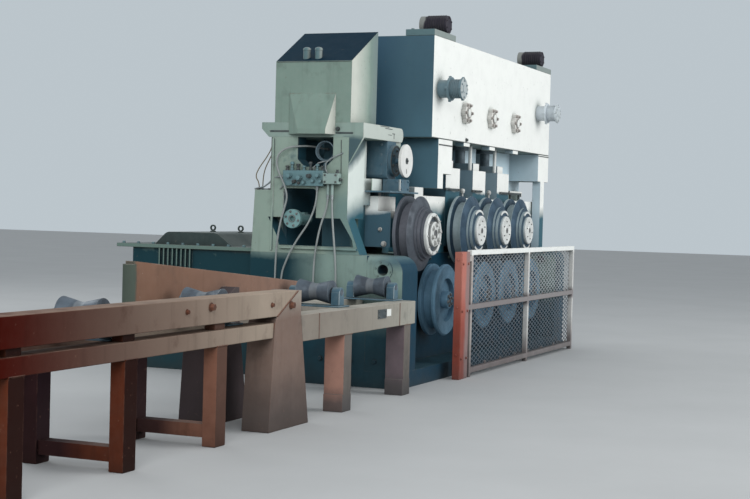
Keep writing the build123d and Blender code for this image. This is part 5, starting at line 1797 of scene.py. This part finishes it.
    def small_parts(self) -> None:
        """Add the pale nipples on the first chock and the bolts of the shaft cover."""
        pale, cover = Mesher(), Mesher()
        for y, z, radius in self.nipples:
            pale.lathe((self.chock_face, y, z), (
                (0.002, radius), (-0.010, radius), (-0.014, radius * 0.66), (-0.034, radius * 0.66),
                (-0.038, radius * 0.4),
            ), 20, X)
        pale.piece("grease_nipples", Finish.PALE_BOLT, Slot.BRIGHT, "chock_1")
        cover.bolt_circle(self.shaft, 0.066, 6, 0.26, 0.016, Face.ENTRY)
        cover.ring(self.shaft, ((0.002, 0.036), (-0.004, 0.035), (-0.004, 0.028), (0.002, 0.027)), axis=X)
        cover.piece("shaft_cover_bolts", Finish.BOLT, Slot.STEEL)

    def make(self) -> None:
        """Dress the stand and its head."""
        self.valves()
        self.coil()
        self.pipes()
        self.roof_caps()
        self.seams()
        self.small_parts()


@dataclass(frozen=True)
class TableFittings:
    """Bolts, plates and weld seams of the two tables."""

    near: float = -0.370
    small_bolts: Outline = ((-4.181, 0.930), (-2.972, 0.918))
    big_bolts: Outline = ((-3.867, 0.947), (-2.661, 0.903))
    seam_x: tuple[float, ...] = (-2.158, -0.496)
    plate: tuple[float, float, float, float] = (-0.992, -0.810, 0.706, 0.783)
    leg_x: tuple[float, ...] = (-3.679, -4.815, -5.951)
    leg_length: float = 0.140
    short_legs: Outline = ((-1.660, -1.510), (-0.365, -0.215))
    roller_x: tuple[float, ...] = (-1.430, -0.245, -3.290, -4.800, -6.110)
    table_end: float = -2.0

    def beams(self) -> None:
        """Add the bolts and seams on the operator side of the entry table."""
        bolts, seams = Mesher(), Mesher()
        for seats, across in ((self.small_bolts, 0.026), (self.big_bolts, 0.042)):
            bolts.bolts([(x, self.near, z) for x, z in seats], across)
        seams.tube([(-2.550, self.near - 0.001, 1.003), (-2.880, self.near - 0.001, 0.832)], 0.006)
        seams.tube([(-2.910, self.near + 0.009, z) for z in (0.676, 0.784)], 0.005)
        for x in self.leg_x:
            half = self.leg_length / 2
            seams.tube([(x - half, -0.361, 0.677), (x + half, -0.361, 0.677)], 0.005)
            bolts.bolts([(x, -0.260, z) for z in (0.085, 0.125)], 0.020)
        bolts.piece("table_bolts", Finish.PRIMER_LEG, Slot.TABLE)
        seams.piece("table_seams", Finish.PRIMER_LEG, Slot.TABLE)

    def short(self) -> None:
        """Add the dark plate, its pale patch and the seams of the short table, and all bearing bolts."""
        x0, x1, z0, z1 = self.plate
        plate, patch, seams, bolts = Mesher(), Mesher(), Mesher(), Mesher()
        front = self.near - 0.005
        plate.block((x0, front, z0), (x1, self.near + 0.002, z1))
        plate.bolts([(x, front, z) for x in (x0 + 0.02, x1 - 0.02) for z in (z0 + 0.018, z1 - 0.018)], 0.010)
        plate.piece("short_table_plate", Finish.DARK_PAINT, Slot.DARK, bevel=0.001)
        patch.block((x1 + 0.012, self.near - 0.003, z0 + 0.012), (x1 + 0.110, self.near + 0.002, z1 - 0.004))
        patch.piece("short_table_patch", Finish.PALE_AND_GLARE_PAINT, Slot.PALE, bevel=0.001)
        for x in self.seam_x:
            seams.tube([(x, self.near - 0.001, z) for z in (0.622, 0.818)], 0.005)
        for ends in self.short_legs:
            seams.tube([(x, self.near + 0.004, 0.621) for x in ends], 0.005)
        seams.piece("short_table_seams", Finish.PRIMER_POST, Slot.TABLE)
        bearings = Extent.of("roller_bearings")
        wide = (bearings.low.y + 0.037, bearings.high.y - 0.037)
        for x in self.roller_x:
            for y in wide if x > self.table_end else (-0.168, 0.168):
                bolts.bolts([(x + side * 0.036, y, 0.905) for side in (-1, 1)], 0.016, Face.TOP)
        bolts.piece("bearing_bolts", Finish.BOLT, Slot.STEEL)

    def make(self) -> None:
        """Dress both tables."""
        self.beams()
        self.short()


@dataclass(frozen=True)
class ReducerFittings:
    """Flange bolts and lifting eyes of the reducer."""

    flange_top: float = 1.226
    pitch: float = 0.150
    eye_offset: float = 0.16

    def make(self) -> None:
        """Add the bolts and the eyes."""
        body, cover = Extent.of("reducer_body"), Extent.of("reducer_cover")
        bolts, eyes = Mesher(), Mesher()
        sides = (body.low.x + 0.040, body.high.x - 0.040)
        count = int((body.size.y - 0.1) / self.pitch)
        for y in spaced(body.low.y + 0.060, body.high.y - 0.060, count):
            bolts.bolts([(x, y, self.flange_top) for x in sides], 0.026, Face.TOP)
        bolts.piece("reducer_flange_bolts", Finish.FITTING, Slot.GREEN)
        x, top = cover.centre.x, cover.high.z
        for y in (cover.centre.y - self.eye_offset, cover.centre.y + self.eye_offset):
            eyes.lathe((x, y, top), ((-0.004, 0.030), (0.010, 0.030), (0.012, 0.016), (0.022, 0.014)), 20, Z)
            loop = ((-0.008, 0.018), (-0.008, 0.032), (0.008, 0.032), (0.008, 0.018))
            eyes.ring((x, y, top + 0.042), loop, 24, X)
        eyes.piece("reducer_lifting_eyes", Finish.REDUCER, Slot.DARK)


@dataclass(frozen=True)
class BedFittings:
    """Bolts of the bed and of the lower rolls' bearing rings, and the flanges round the tube's mouths."""

    front: float = 0.160
    roll_x: tuple[float, ...] = (1.470, 2.6775, 3.5325, 4.3875)
    roll_height: float = 0.745
    pass_height: float = 1.075
    stud_y: tuple[float, ...] = (-0.12, 0.06, 0.30, 0.60, 0.90, 1.20)

    def make(self) -> None:
        """Add the bolts and the flanges."""
        bolts, flanges, studs = Mesher(), Mesher(), Mesher()
        for x in self.roll_x:
            bolts.bolt_circle((x, 0.132, self.roll_height), 0.143, 10, 0.3, 0.018)
        bolts.piece("lower_bearing_bolts", Finish.BOLT, Slot.STEEL)
        for x, face in ((0.0, Face.ENTRY), (5.430, Face.EXIT)):
            axis, side = face.value
            flanges.ring((x, 0.0, self.pass_height), (
                (-0.002 * side, 0.052), (0.008 * side, 0.052), (0.008 * side, 0.092), (-0.002 * side, 0.094),
            ), 48, axis)
            flanges.bolt_circle((x + 0.008 * side, 0.0, self.pass_height), 0.073, 6, 0.2, 0.014, face)
        flanges.piece("tube_mouth_flanges", Finish.BED, Slot.GREEN)
        studs.bolts([(0.0, y, 0.24) for y in self.stud_y], 0.034, Face.ENTRY)
        studs.bolts([(x, self.front, 1.150) for x in spaced(0.52, 4.95, 9)], 0.026)
        studs.piece("bed_bolts", Finish.BED, Slot.GREEN)


def main() -> None:
    """Build the looks in order."""
    logging.basicConfig(level=logging.INFO, format="%(message)s")
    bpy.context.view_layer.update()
    bpy.context.scene.view_settings.view_transform = "Standard"
    for part in (
        PhotoCamera(), OilHoses(), Studio(), FrameDressing(), GuardFittings(), RollHubs(), ScrewGear(),
        BeamFittings(), StandFittings(), TableFittings(), ReducerFittings(), BedFittings(),
    ):
        part.make()


if __name__ == "__main__":
    main()
